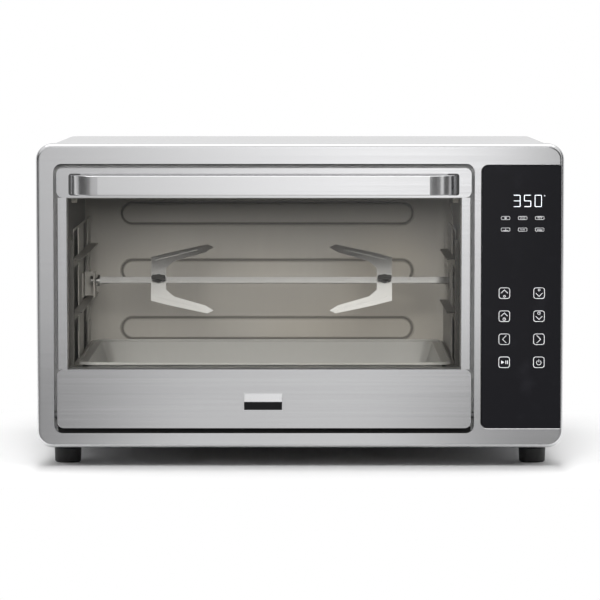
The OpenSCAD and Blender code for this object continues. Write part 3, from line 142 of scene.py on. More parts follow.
class OvenTouchPanel(PropertyGroup):
    """Printed and lit marks on the touch panel, placed from the glass's left and upper edges."""

    digits: StringProperty(name="Digits", description="Number on the display", default="350")
    digit_width: length("Digit width", "Width of one digit", 6.7 * MM)
    digit_height: length("Digit height", "Height of one digit", 11.4 * MM)
    digit_pitch: length("Digit pitch", "Distance from one digit to the next", 10.1 * MM)
    digit_line: length("Digit line", "Width of a lit segment", 0.6 * MM)
    digits_left: length("Digits from the left", "Left edge of the first digit", 29.5 * MM)
    digits_down: length("Digits from the top", "Upper edge of the digits", 27.6 * MM)
    degree_radius: length("Degree radius", "Radius of the degree sign", 0.65 * MM)
    degree_line: length("Degree line", "Width of the degree sign's line", 0.3 * MM)
    degree_right: length("Degree right", "Middle of the degree sign after the last digit", 2.6 * MM)
    degree_down: length("Degree down", "Middle of the degree sign below the digits' tops", 0.8 * MM)
    mode_left: length("Modes from the left", "Middle of the first mode mark", 22.2 * MM)
    mode_down: length("Modes from the top", "Middle of the first row of mode marks", 49.5 * MM)
    mode_pitch: length("Mode pitch", "Distance between mode marks in a row", 16.15 * MM)
    mode_row: length("Mode row", "Distance between the rows of mode marks", 11 * MM)
    mode_width: length("Mode width", "Width of a mode mark", 8.4 * MM)
    mode_height: length("Mode height", "Height of a mode mark", 3.3 * MM)
    mode_corner: length("Mode corner", "Corner radius of a mode mark", 0.9 * MM)
    key_left: length("Keys from the left", "Middle of the left keys", 21.4 * MM)
    key_down: length("Keys from the top", "Middle of the first row of keys", 120.8 * MM)
    key_pitch: length("Key pitch", "Distance between the left and right keys", 32.9 * MM)
    key_row: length("Key row", "Distance between the rows of keys", 21.93 * MM)
    key_side: length("Key side", "Outer side of a key's outline", 10.6 * MM)
    key_corner: length("Key corner", "Corner radius of a key's outline", 2.4 * MM)
    line: length("Line", "Width of a printed line", 0.46 * MM)
    ink: length("Ink", "Thickness of the print", 0.08 * MM)


class OvenKeySigns(PropertyGroup):
    """Signs in the touch keys, placed from the middle of a key."""

    point_span: length("Point span", "Span of a chevron that points up or down", 7.0 * MM)
    point_off: length("Point offset", "Distance of that chevron from the middle", 1.7 * MM)
    arrow_span: length("Arrow span", "Span of a chevron that points sideways", 7.8 * MM)
    degree_radius: length("Degree radius", "Radius of the degree sign", 1.1 * MM)
    degree_line: length("Degree line", "Width of the degree sign's line", 0.4 * MM)
    degree_off: length("Degree offset", "Distance of the degree sign from the middle", 3.0 * MM)
    clock_radius: length("Clock radius", "Radius of the clock", 1.5 * MM)
    clock_line: length("Clock line", "Width of the clock's lines", 0.35 * MM)
    clock_off: length("Clock offset", "Distance of the clock from the middle", 2.8 * MM)
    play_size: length("Play size", "Size of the triangle", 3.8 * MM)
    play_left: length("Play left", "Distance of the triangle to the left", 1.8 * MM)
    pause_width: length("Pause width", "Width of a pause bar", 0.65 * MM)
    pause_height: length("Pause height", "Height of a pause bar", 3.2 * MM)
    pause_near: length("Near pause bar", "Distance of the first pause bar to the right", 1.6 * MM)
    pause_far: length("Far pause bar", "Distance of the second pause bar to the right", 3.2 * MM)
    power_radius: length("Power radius", "Radius of the power sign", 2.4 * MM)
    power_down: length("Power down", "Distance of the power sign below the middle", 0.3 * MM)


class OvenScrews(PropertyGroup):
    """Screws that hold the rear panel."""

    head_radius: length("Head radius", "Radius of a screw's head", 3.6 * MM)
    head_height: length("Head height", "Height of a screw's head", 2.3 * MM)
    recess: length("Recess", "Width of the cross recess's arms", 1.0 * MM)
    recess_span: length("Recess span", "Length of the cross recess's arms", 4.5 * MM)
    recess_depth: length("Recess depth", "Depth of the cross recess", 1.4 * MM)
    shank_radius: length("Shank radius", "Radius of a screw's shank", 1.8 * MM)
    shank_length: length("Shank length", "Length of a screw's shank", 8 * MM)


class OvenStage(PropertyGroup):
    """Camera, floor, lamps and reflecting cards."""

    camera_back: length("Camera distance", "Distance of the camera from the front frame", 3.3)
    camera_height: length("Camera height", "Height of the camera above the floor", 0.4005)
    aim_height: length("Aim height", "Height that the camera looks at on the front frame", 0.1585)
    focal: level("Focal length", "Focal length in millimetres on a sensor of 36 mm", 209.4, 1000)
    floor: colour("Floor", "Colour of the floor", (0.92, 0.92, 0.92))
    floor_size: length("Floor size", "Side of the floor", 14.0, high=50)
    shadow_reach: length("Shadow reach", "Distance from the oven at which the floor turns white", 0.14)
    front_level: level("Front level", "Brightness of the room behind the camera", 0.06)
    back_level: level("Back level", "Brightness of the backdrop in reflections", 0.86)
    top_power: level("Top lamp", "Power of the soft box above, in watts", 14.0, 500)
    front_power: level("Front lamp", "Power of the soft box in front, in watts", 80.0, 500)
    wall_left: level("Wall card left", "Brightness of the standing card at the left", 0.58)
    wall_middle: level("Wall card middle", "Brightness of the standing card in the middle", 1.2)
    wall_right: level("Wall card right", "Brightness of the standing card towards the right", 1.75)
    wall_end: level("Wall card end", "Brightness of the standing card at its right end", 0.1)
    brow: level("Brow card", "Brightness of the card above the camera", 0.9)
    strip: level("Strip card", "Brightness of the narrow card at the right", 0.8)
    near_left: level("Near card left", "Brightness of the lying card's near end at the left", 0.29)
    near_middle: level("Near card middle", "Brightness of the lying card's near end in the middle", 0.69)
    near_right: level("Near card right", "Brightness of the lying card's near end at the right", 0.31)
    far_left: level("Far card left", "Brightness of the lying card's far end at the left", 0.47)
    far_right: level("Far card right", "Brightness of the lying card's far end towards the right", 0.93)
    far_end: level("Far card end", "Brightness of the lying card's far end at its right end", 0.30)


class Signal:
    """One value in a shader. Sums and products of signals add their Math nodes to the same tree."""

    def __init__(self, tree, socket):
        self.tree = tree
        self.socket = socket

    def maths(self, operation, first, second=0.0):
        node = self.tree.nodes.new("ShaderNodeMath")
        node.operation = operation
        feed(self.tree, node.inputs[0], first)
        feed(self.tree, node.inputs[1], second)
        return Signal(self.tree, node.outputs[0])

    def __add__(self, other):
        return self.maths("ADD", self, other)

    def __radd__(self, other):
        return self.maths("ADD", other, self)

    def __sub__(self, other):
        return self.maths("SUBTRACT", self, other)

    def __rsub__(self, other):
        return self.maths("SUBTRACT", other, self)

    def __mul__(self, other):
        return self.maths("MULTIPLY", self, other)

    def __rmul__(self, other):
        return self.maths("MULTIPLY", other, self)

    def __pow__(self, other):
        return self.maths("POWER", self, other)

    def larger(self, other):
        return self.maths("MAXIMUM", self, other)

    def size(self):
        return self.maths("ABSOLUTE", self)


def feed(tree, socket, value):
    """Links a signal to a socket, or sets the socket to a plain value."""
    if isinstance(value, Signal):
        tree.links.new(value.socket, socket)
    else:
        socket.default_value = value


class Finish:
    """Builds a node tree: the finish of a surface, or the light of the world."""

    def __init__(self, owner):
        owner.use_nodes = True
        self.owner = owner
        self.tree = owner.node_tree
        self.tree.nodes.clear()

    def add(self, kind, settings=None, sockets=None, output=0):
        """Adds a node of one kind: its settings first, then the values or links of its sockets."""
        node = self.tree.nodes.new(kind)
        for key, value in (settings or {}).items():
            setattr(node, key, value)
        for key, value in (sockets or {}).items():
            feed(self.tree, node.inputs[key], value)
        return Signal(self.tree, node.outputs[output]) if node.outputs else None

    def place(self, stretch=(1, 1, 1)):
        """Object coordinates, stretched along each axis."""
        where = self.add("ShaderNodeTexCoord", output="Object")
        return self.add("ShaderNodeMapping", None, {"Vector": where, "Scale": stretch})

    def noise(self, scale, detail=2.0, stretch=(1, 1, 1), rough=0.5):
        """Soft noise between 0 and 1, with its size in patches to the metre."""
        sockets = {"Vector": self.place(stretch), "Scale": scale, "Detail": detail, "Roughness": rough}
        return self.add("ShaderNodeTexNoise", None, sockets, "Fac")

    def between(self, value, low, high, start=0.0, end=1.0):
        """Maps a value smoothly from low..high to start..end."""
        sockets = {"Value": value, "From Min": low, "From Max": high, "To Min": start, "To Max": end}
        return self.add("ShaderNodeMapRange", {"interpolation_type": "SMOOTHSTEP"}, sockets)

    def blend(self, factor, first, second):
        """Mixes two colours."""
        sockets = {0: factor, 6: rgba(first), 7: rgba(second)}
        return self.add("ShaderNodeMix", {"data_type": "RGBA"}, sockets, 2)

    def along(self, axis):
        """Place along one axis, in metres."""
        where = self.add("ShaderNodeTexCoord", output="Object")
        return self.add("ShaderNodeSeparateXYZ", None, {0: where}, axis)

    def bump(self, height, strength, distance):
        """Small relief for the Normal socket."""
        sockets = {"Height": height, "Strength": strength, "Distance": distance}
        return self.add("ShaderNodeBump", None, sockets)

    def surface(self, sockets):
        """Ends the tree in one principled shader and hands over its owner."""
        return self.end(self.add("ShaderNodeBsdfPrincipled", None, sockets))

    def end(self, shader):
        """Ends the tree in a shader and hands over its owner."""
        kind = "World" if isinstance(self.owner, bpy.types.World) else "Material"
        self.add("ShaderNodeOutput" + kind, None, {"Surface": shader})
        return self.owner


def rgba(value):
    """A colour with full alpha, or a signal as it is."""
    return value if isinstance(value, Signal) else (*value[:3], 1.0)


def shade(value, factor):
    """A colour made darker or lighter."""
    return tuple(min(1.0, part * factor) for part in value)


def new_finish(name):
    """A new material with an empty node tree."""
    return Finish(bpy.data.materials.new(name))


# Finishes

def brushed_steel(name, tint, rough, streak, relief=0.02):
    """Steel with fine lines brushed from side to side, faintly cloudy and a little worn in its gloss."""
    finish = new_finish(name)
    lines = finish.noise(1.0, 4.0, (2.5, 420, 420), 0.65)
    cloud = finish.noise(5.0, 2.0)
    tone = 0.5 + streak * (lines - 0.5) + 0.25 * (cloud - 0.5)
    return finish.surface({
        "Base Color": finish.blend(tone, shade(tint, 0.88), shade(tint, 1.1)),
        "Metallic": 1.0,
        "Roughness": rough + 0.10 * (lines - 0.5) + 0.05 * (cloud - 0.5),
        "Normal": finish.bump(lines, relief, 0.0004),
    })


def lining_steel(name, tint, rough, stain, metal, painted_shade_span=None):
    """Satin oven sheet: fine grain from the rolls, cloudy patches and a warm heat stain in places.
    Painted shade darkens it from the first given place along Y to the second, if there are any: it stands
    in for the shade in the back wall's grooves and on the rack guides' front edges."""
    finish = new_finish(name)
    grain = finish.noise(1.0, 3.0, (300, 300, 12), 0.6)
    cloud = finish.noise(9.0, 3.0)
    heat = finish.between(finish.noise(4.0, 2.0), 0.5, 0.75)
    tone = 0.5 + 0.5 * (grain - 0.5) + 0.5 * (cloud - 0.5)
    plain = finish.blend(tone, shade(tint, 0.9), shade(tint, 1.08))
    warm = (tint[0] * 0.93, tint[1] * 0.84, tint[2] * 0.70)
    skin = finish.blend(stain * heat, plain, warm)
    # Painted shade: the sheet turns dark over the given span along Y, where shade falls.
    if painted_shade_span:
        skin = finish.blend(finish.between(finish.along("Y"), *painted_shade_span), skin, shade(tint, 0.2))
    return finish.surface({
        "Base Color": skin,
        "Metallic": metal,
        "Specular IOR Level": 0.25,
        "Roughness": rough + 0.14 * (cloud - 0.5) + 0.08 * (grain - 0.5),
        "Normal": finish.bump(grain, 0.06, 0.0004),
    })


def plated_steel(name, tint, rough):
    """Bright plated steel with faint handling marks."""
    finish = new_finish(name)
    cloud = finish.noise(40.0, 3.0)
    scratch = finish.between(finish.noise(1.0, 5.0, (900, 90, 90), 0.7), 0.62, 0.72)
    return finish.surface({
        "Base Color": finish.blend(cloud, shade(tint, 0.92), shade(tint, 1.05)),
        "Metallic": 1.0,
        "Roughness": rough + 0.08 * (cloud - 0.5) + 0.10 * scratch,
        "Normal": finish.bump(cloud, 0.03, 0.0005),
    })


def coated_sheet(name, tint, rough, speckle, metal=0.0):
    """Painted or enamelled sheet with an orange-peel surface and small specks."""
    finish = new_finish(name)
    peel = finish.noise(450.0, 2.0)
    speck = finish.between(finish.noise(900.0, 1.0), 0.68, 0.76)
    cloud = finish.noise(12.0, 2.0)
    plain = finish.blend(cloud, shade(tint, 0.9), shade(tint, 1.1))
    return finish.surface({
        "Base Color": finish.blend(speckle * speck, plain, shade(tint, 2.4)),
        "Metallic": metal,
        "Roughness": rough + 0.10 * (cloud - 0.5),
        "Normal": finish.bump(peel, 0.10, 0.0006),
    })


def element_sheath(name, tint):
    """Heating rod: dark oxide, burnt in bands to brown and straw."""
    finish = new_finish(name)
    band = finish.between(finish.noise(1.0, 3.0, (16, 60, 60)), 0.35, 0.65)
    grain = finish.noise(500.0, 2.0)
    painted_shade_span = finish.blend(band, tint, (tint[0] * 1.9, tint[1] * 1.6, tint[2] * 1.25))
    return finish.surface({
        "Base Color": painted_shade_span,
        "Metallic": 0.5,
        "Roughness": 0.52 + 0.2 * (grain - 0.5),
        "Normal": finish.bump(grain, 0.15, 0.0004),
    })


def ceramic(name, tint):
    """Unglazed ceramic with fine pores."""
    finish = new_finish(name)
    pores = finish.between(finish.noise(1400.0, 2.0), 0.6, 0.7)
    cloud = finish.noise(90.0, 2.0)
    plain = finish.blend(cloud, shade(tint, 0.94), tint)
    return finish.surface({
        "Base Color": finish.blend(0.6 * pores, plain, shade(tint, 0.7)),
        "Roughness": 0.72 + 0.12 * (cloud - 0.5),
        "Normal": finish.bump(pores, 0.2, 0.0003),
    })


def moulded_plastic(name, tint, rough):
    """Moulded plastic with a fine spark-eroded grain."""
    finish = new_finish(name)
    grain = finish.noise(1500.0, 2.0)
    cloud = finish.noise(25.0, 2.0)
    return finish.surface({
        "Base Color": finish.blend(cloud, shade(tint, 0.85), shade(tint, 1.2)),
        "Roughness": rough + 0.12 * (grain - 0.5) + 0.08 * (cloud - 0.5),
        "Normal": finish.bump(grain, 0.25, 0.0003),
    })


def rubber(name, tint):
    """Matt rubber with a dusty bloom."""
    finish = new_finish(name)
    grain = finish.noise(900.0, 3.0)
    bloom = finish.between(finish.noise(60.0, 3.0), 0.5, 0.8)
    return finish.surface({
        "Base Color": finish.blend(0.35 * bloom, tint, shade(tint, 3.0)),
        "Roughness": 0.62 + 0.2 * (grain - 0.5),
        "Normal": finish.bump(grain, 0.2, 0.0004),
    })


def circuit_board(name, tint):
    """Green board with lighter copper tracks under the lacquer."""
    finish = new_finish(name)
    where = finish.place((260, 260, 260))
    cells = finish.add("ShaderNodeTexVoronoi", {"distance": "MANHATTAN", "feature": "F1"},
                       {"Vector": where, "Scale": 1.0}, "Distance")
    tracks = finish.between(cells, 0.42, 0.5)
    return finish.surface({
        "Base Color": finish.blend(0.6 * tracks, tint, (tint[0] * 1.6, tint[1] * 1.7, tint[2] * 1.5)),
        "Roughness": 0.38 - 0.1 * tracks,
        "Normal": finish.bump(tracks, 0.2, 0.0002),
    })


def clear_glass(name):
    """Door glass: light passes straight through, with a thin gloss and a faint smear."""
    finish = new_finish(name)
    smear = finish.between(finish.noise(6.0, 4.0, (1, 1, 2.5)), 0.5, 0.8)
    gloss = finish.add("ShaderNodeBsdfGlossy", None,
                       {"Color": rgba((1, 1, 1)), "Roughness": 0.03 + 0.05 * smear})
    through = finish.add("ShaderNodeBsdfTransparent", None, {"Color": rgba((0.965, 0.96, 0.945))})
    edge = finish.add("ShaderNodeFresnel", None, {"IOR": 1.45})
    return finish.end(finish.add("ShaderNodeMixShader", None, {0: 0.35 * edge, 1: through, 2: gloss}))


def black_glass(name, tint):
    """Back-printed black glass: deep gloss with a trace of finger marks."""
    finish = new_finish(name)
    touch = finish.between(finish.noise(45.0, 3.0), 0.55, 0.8)
    return finish.surface({
        "Base Color": finish.blend(touch, shade(tint, 0.5), shade(tint, 0.7)),
        "Roughness": 0.16 + 0.10 * touch,
        "Specular IOR Level": 0.1,
    })


def panel_ink(name, tint, strength):
    """Printed or lit mark: even white with a slightly uneven edge of ink."""
    finish = new_finish(name)
    film = finish.noise(700.0, 2.0)
    tone = finish.blend(film, shade(tint, 0.94), tint)
    return finish.surface({
        "Base Color": tone,
        "Roughness": 0.45 + 0.1 * (film - 0.5),
        "Emission Color": tone,
        "Emission Strength": strength,
    })


def slot_finishes(tints):
    """One finish for each material slot of the record, from its maker, its colour and further values."""
    drawn = SLOT_COLOUR
    makers = {
        "frame_steel": (brushed_steel, tints.frame_steel, 0.19, 0.25),
        "brushed_panel": (brushed_steel, tints.panel_steel, 0.20, 0.8, 0.05),
        "handle_steel": (brushed_steel, tints.handle_steel, 0.20, 0.25),
        "casing_sheet": (coated_sheet, drawn["casing_sheet"], 0.5, 0.3, 0.4),
        "oven_lining": (lining_steel, shade(tints.lining, LINING_TONE), 0.45, 0.35, 0.0),
        "rack_steel": (lining_steel, shade(tints.rack_steel, RACK_TONE), 0.38, 0.25, 0.25),
        "element_sheath": (element_sheath, drawn["element_sheath"]),
        "ceramic": (ceramic, drawn["ceramic"]),
        "tray_steel": (lining_steel, drawn["tray_steel"], 0.34, 0.2, 0.5),
        "mouth_enamel": (coated_sheet, shade(drawn["mouth_enamel"], 1.25), 0.45, 0.1),
        "black_oxide": (coated_sheet, shade(drawn["black_oxide"], 0.4), 0.6, 0.1),
        "crumb_steel": (lining_steel, drawn["crumb_steel"], 0.36, 0.3, 0.4),
        "fan_metal": (plated_steel, drawn["fan_metal"], 0.34),
        "motor_iron": (coated_sheet, drawn["motor_iron"], 0.55, 0.2, 0.3),
        "bright_steel": (plated_steel, drawn["bright_steel"], 0.20),
        "zinc_steel": (plated_steel, drawn["zinc_steel"], 0.36),
        "clear_glass": (clear_glass,),
        "control_black_glass": (black_glass, tints.black_glass),
        "black_plastic": (moulded_plastic, drawn["black_plastic"], 0.42),
        "white_plastic": (moulded_plastic, drawn["white_plastic"], 0.45),
        "board_green": (circuit_board, drawn["board_green"]),
        "foot_rubber": (rubber, drawn["foot_rubber"]),
    }
    return {slot: maker(slot, *values) for slot, (maker, *values) in makers.items()}


def node_finishes(tints):
    """Finishes of the nodes that differ from the rest of their slot."""
    lining, guide = shade(tints.lining, LINING_TONE), shade(tints.rack_steel, RACK_TONE)
    # Painted shade: the right guide is the left guide's steel made darker, standing in for the shade on
    # that side.
    shaded_right_guide = shade(guide, RIGHT_GUIDE_SHADE_TONE)
    # Painted shade: the back wall turns dark inside its pressed grooves, where shade falls.
    grooves = (BACK_WALL_Y + 0.1 * MM, BACK_WALL_Y + 1.3 * MM)
    # Painted shade: the rack guides turn dark at their front edges by the oven's mouth, where shade
    # falls.
    mouth = (MOUTH_Y + 10 * MM, MOUTH_Y + 3 * MM)
    # Painted shade: the side walls are the back wall's lining made darker, standing in for the shade that
    # falls on them.
    side = lining_steel("side_lining_painted_shade", shade(lining, SIDE_SHADE_TONE), 0.45, 0.35, 0.0)
    return {
        "cavity_back": lining_steel("back_lining_groove_shade", lining, 0.45, 0.35, 0.0, grooves),
        "cavity_left_wall": side,
        "cavity_right_wall": side,
        "rack_guide_left": lining_steel("guide_steel_mouth_shade", guide, 0.38, 0.25, 0.25, mouth),
        "rack_guide_right": lining_steel("right_guide_painted_shade", shaded_right_guide, 0.38, 0.5, 0.25, mouth),
        # Painted shade: the top rail is the frame's steel made a shade darker, standing in for the shade
        # above the handle.
        "door_top_rail": brushed_steel("rail_steel_painted_shade", shade(tints.frame_steel, 0.94), 0.17, 0.25),
        "hinge_pins": plated_steel("pin_steel", shade(SLOT_COLOUR["zinc_steel"], 0.5), 0.4),
    }


# Modelling helpers

def object_mode():
    """Leaves edit mode."""
    bpy.ops.object.mode_set(mode="OBJECT")


def clear_selection():
    """Object mode with nothing selected."""
    if bpy.context.mode != "OBJECT":
        object_mode()
    bpy.ops.object.select_all(action="DESELECT")


def pick(obj):
    """Makes one object the only selected and active one."""
    clear_selection()
    obj.select_set(True)
    bpy.context.view_layer.objects.active = obj
    return obj


def edit_all(obj):
    """Edit mode with the whole mesh selected."""
    pick(obj)
    bpy.ops.object.mode_set(mode="EDIT")
    bpy.ops.mesh.select_all(action="SELECT")


def edit_faces(obj, chosen):
    """Edit mode with the faces selected whose middle and normal pass the test."""
    edit_all(obj)
    bpy.ops.mesh.select_mode(type="FACE")
    bpy.ops.mesh.select_all(action="DESELECT")
    object_mode()
    for face in obj.data.polygons:
        face.select = chosen(face.center, face.normal)
    bpy.ops.object.mode_set(mode="EDIT")


def settle(obj):
    """Puts an object's place, turn and size into its mesh."""
    pick(obj)
    bpy.ops.object.transform_apply(location=True, rotation=True, scale=True)
    return obj


def apply_modifier(obj, kind, **settings):
    """Adds a modifier and applies it at once."""
    pick(obj)
    bpy.ops.object.modifier_add(type=kind)
    modifier = obj.modifiers[-1]
    for key, value in settings.items():
        setattr(modifier, key, value)
    bpy.ops.object.modifier_apply(modifier=modifier.name)


def joined(parts):
    """Joins flat or solid parts into one object."""
    clear_selection()
    for part in parts:
        part.select_set(True)
    bpy.context.view_layer.objects.active = parts[0]
    if len(parts) > 1:
        bpy.ops.object.join()
    return settle(parts[0])


def copied(part, x, y, turn=0.0):
    """A copy with its own mesh, moved and turned in the plane of the drawing."""
    pick(part)
    bpy.ops.object.duplicate()
    copy = bpy.context.object
    copy.location = (x, y, 0)
    copy.rotation_euler = (0, 0, math.radians(turn))
    return settle(copy)


def remove(*parts):
    """Deletes parts that are no longer needed."""
    for part in parts:
        bpy.data.objects.remove(part)


def deliver(obj, name, body, slot, *finishes):
    """Names a finished piece, gives it its finishes and lets it ride on a body. The slot it is handed is
    not used.
    """
    obj.name = name
    obj.data.name = name
    obj.data.materials.clear()
    for finish in finishes:
        obj.data.materials.append(finish)
    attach(obj, body)


# Flat marks, drawn in the plane of the panel with X to the right and Y up

def bar(width, height):
    """Plain rectangle."""
    clear_selection()
    bpy.ops.mesh.primitive_plane_add(size=1)
    part = bpy.context.object
    part.scale = (width, height, 1)
    return settle(part)


def segment(width, height):
    """Bar with pointed ends, as in a lit digit."""
    part = bar(width, height)
    edit_all(part)
    bpy.ops.mesh.bevel(offset=0.48 * min(width, height), segments=1, affect="VERTICES")
    object_mode()
    return part


def outline(width, height, corner, line):
    """Frame of even width with round corners."""
    part = bar(width, height)
    edit_all(part)
    if corner > 0:
        bpy.ops.mesh.bevel(offset=corner, segments=5, affect="VERTICES")
        bpy.ops.mesh.select_all(action="SELECT")
    bpy.ops.mesh.inset(thickness=line)
    bpy.ops.mesh.delete(type="FACE")
    object_mode()
    return part


def ring(radius, line):
    """Round outline."""
    clear_selection()
    bpy.ops.mesh.primitive_circle_add(vertices=32, radius=radius, fill_type="NGON")
    part = bpy.context.object
    edit_all(part)
    bpy.ops.mesh.inset(thickness=line)
    bpy.ops.mesh.delete(type="FACE")
    object_mode()
    return part


def chevron(span, line):
    """Upper half of a square outline that stands on its corner: a mark that points up."""
    side = span / math.sqrt(2)
    part = outline(side, side, 0, line)
    part.rotation_euler = (0, 0, math.radians(45))
    settle(part)
    edit_all(part)
    bpy.ops.mesh.bisect(plane_co=(0, 0, 0), plane_no=(0, 1, 0), clear_inner=True)
    object_mode()
    part.location = (0, -span / 4, 0)
    return settle(part)


def play_mark(size):
    """Triangle that points to the right."""
    clear_selection()
    bpy.ops.mesh.primitive_circle_add(vertices=3, radius=size / 2, fill_type="NGON")
    part = bpy.context.object
    part.rotation_euler = (0, 0, math.radians(-90))
    return settle(part)


def power_mark(radius, line):
    """Ring that is open at the top, with a stroke through the gap."""
    circle = ring(radius, line)
    edit_faces(circle, lambda middle, normal: middle.y > 0 and abs(middle.x) < 0.45 * radius)
    bpy.ops.mesh.delete(type="FACE")
    object_mode()
    stroke = bar(line, 1.1 * radius)
    stroke.location = (0, 0.75 * radius, 0)
    return joined([circle, settle(stroke)])


def clock_mark(radius, line):
    """Ring with two hands."""
    tall = bar(line, 0.7 * radius)
    tall.location = (0, 0.3 * radius, 0)
    short = bar(0.55 * radius, line)
    short.location = (0.25 * radius, 0, 0)
    return joined([ring(radius, line), settle(tall), settle(short)])


def printed(parts, ink):
    """Joins flat marks, gives them the thickness of the ink and lays them on the control glass."""
    mark = joined(parts)
    apply_modifier(mark, "SOLIDIFY", thickness=ink, offset=1.0)
    edit_all(mark)
    bpy.ops.mesh.normals_make_consistent(inside=False)
    object_mode()
    mark.rotation_euler = (math.radians(90), 0, 0)
    mark.location = (GLASS_LOW.x, GLASS_LOW.y, GLASS_HIGH.z)
    return settle(mark)


class OVEN_OT_finishes(Operator):
    """Give every solid of the oven its finish"""

    bl_idname = "oven.finishes"
    bl_label = "Finishes"

    def execute(self, context):
        tints = context.scene.oven_colours
        finishes = slot_finishes(tints)
        special = node_finishes(tints)
        for name, obj in frame["nodes"].items():
            obj.data.materials.clear()
            obj.data.materials.append(special.get(name, finishes[NODE_SLOT[name]]))
        return {"FINISHED"}


class OVEN_OT_badge(Operator):
    """Model the bare badge plate on the lower door panel"""

    bl_idname = "oven.badge"
    bl_label = "Badge plate"

    def execute(self, context):
        size = context.scene.oven_badge
        clear_selection()
        bpy.ops.mesh.primitive_cube_add(size=1)
        plate = bpy.context.object
        plate.scale = (size.width, size.thick, size.height)
        settle(plate)
        edit_faces(plate, lambda middle, normal: normal.y < -FACING)
        bpy.ops.mesh.inset(thickness=size.rim)
        bpy.ops.mesh.extrude_region_move(TRANSFORM_OT_translate={"value": (0, size.sink, 0)})
        bpy.ops.mesh.select_all(action="SELECT")
        bpy.ops.mesh.bisect(plane_co=(0, 0, 0), plane_no=(0, 0, 1))
        sunk = size.sink - size.thick / 2

        def in_field(middle, normal):
            """Whether a face lies at the bottom of the sunk field."""
            return normal.y < -FACING and middle.y > sunk - CLOSE

        edit_faces(plate, lambda middle, normal: in_field(middle, normal) and middle.z > 0)
        bpy.ops.transform.rotate(value=size.tilt, orient_axis="X", center_override=(0, sunk, 0))
        object_mode()
        lower = [face.index for face in plate.data.polygons
                 if in_field(face.center, face.normal) and face.center.z < 0]
        if not lower:
            raise RuntimeError("the badge plate has no lower field")
        plate.location = (DOOR_LOW.x + size.from_left, DOOR_LOW.y - size.thick / 2,
                          DOOR_LOW.z + size.above)
        settle(plate)
        steel = brushed_steel("badge_steel", SLOT_COLOUR["handle_steel"], 0.22, 0.6)
        enamel = black_glass("badge_enamel", (0.012, 0.012, 0.013))
        deliver(plate, "badge_plate", "door", "handle_steel", steel, enamel)
        for index in lower:
            plate.data.polygons[index].material_index = 1
        apply_modifier(plate, "BEVEL", width=size.edge, segments=2, limit_method="ANGLE")
        return {"FINISHED"}


class OVEN_OT_digits(Operator):
    """Model the lit number on the touch panel"""

    bl_idname = "oven.digits"
    bl_label = "Lit digits"

    SEGMENTS = {"0": "abcdef", "1": "bc", "2": "abged", "3": "abgcd", "4": "fgbc", "5": "afgcd",
                "6": "afgedc", "7": "abc", "8": "abcdefg", "9": "abcdfg"}

    def execute(self, context):
        size = context.scene.oven_panel
        line, wide, tall = size.digit_line, size.digit_width, size.digit_height
        across = segment(wide - 0.9 * line, line)
        upright = segment(line, tall / 2 - 0.45 * line)
        left, right = line / 2, wide - line / 2
        low, middle, high = line / 2 - tall, -tall / 2, -line / 2
        places = {
            "a": (across, wide / 2, high), "g": (across, wide / 2, middle), "d": (across, wide / 2, low),
            "f": (upright, left, (middle + high) / 2), "b": (upright, right, (middle + high) / 2),
            "e": (upright, left, (middle + low) / 2), "c": (upright, right, (middle + low) / 2),
        }
        parts = []
        for index, digit in enumerate(size.digits):
            start = size.digits_left + index * size.digit_pitch
            for key in self.SEGMENTS[digit]:
                part, x, y = places[key]
                parts.append(copied(part, start + x, y - size.digits_down))
        degree = ring(size.degree_radius, size.degree_line)
        end = size.digits_left + (len(size.digits) - 1) * size.digit_pitch + wide
        parts.append(copied(degree, end + size.degree_right, -size.digits_down - size.degree_down))
        remove(across, upright, degree)
        light = panel_ink("digit_light", context.scene.oven_colours.digit_light, 0.5)
        deliver(printed(parts, size.ink), "display_digits", "oven", "control_black_glass", light)
        return {"FINISHED"}


class OVEN_OT_modes(Operator):
    """Model the six heating marks on the touch panel"""

    bl_idname = "oven.modes"
    bl_label = "Mode marks"

    def execute(self, context):
        size = context.scene.oven_panel
        wide, tall, line = size.mode_width, size.mode_height, 0.6 * size.line
        box = outline(wide, tall, size.mode_corner, line)
        stroke = bar(0.62 * wide, line)
        rib = bar(line, 0.45 * tall)
        circle = ring(0.3 * tall, line)
        hub = ring(0.11 * tall, 0.9 * line)
        over, under = 0.24 * tall, -0.24 * tall
        marks = [
            [(circle, 0, 0), (hub, 0, 0)],
            [(stroke, 0, over), (stroke, 0, under)],
            [(stroke, 0, over)] + [(rib, share * wide, -0.1 * tall) for share in (-0.18, 0, 0.18)],
            [(stroke, 0, under), (hub, 0, 0.08 * tall)],
            [(rib, share * wide, 0) for share in (-0.2, -0.07, 0.07, 0.2)],
            [(stroke, 0, under), (stroke, 0, 0)],
        ]
        parts = []
        for index, strokes in enumerate(marks):
            x = size.mode_left + (index % 3) * size.mode_pitch
            y = -size.mode_down - (index // 3) * size.mode_row
            parts.append(copied(box, x, y))
            parts.extend(copied(part, x + right, y + up) for part, right, up in strokes)
        remove(box, stroke, rib, circle, hub)
        ink = panel_ink("mode_ink", context.scene.oven_colours.mark_white, 0.25)
        deliver(printed(parts, size.ink), "mode_marks", "oven", "control_black_glass", ink)
        return {"FINISHED"}


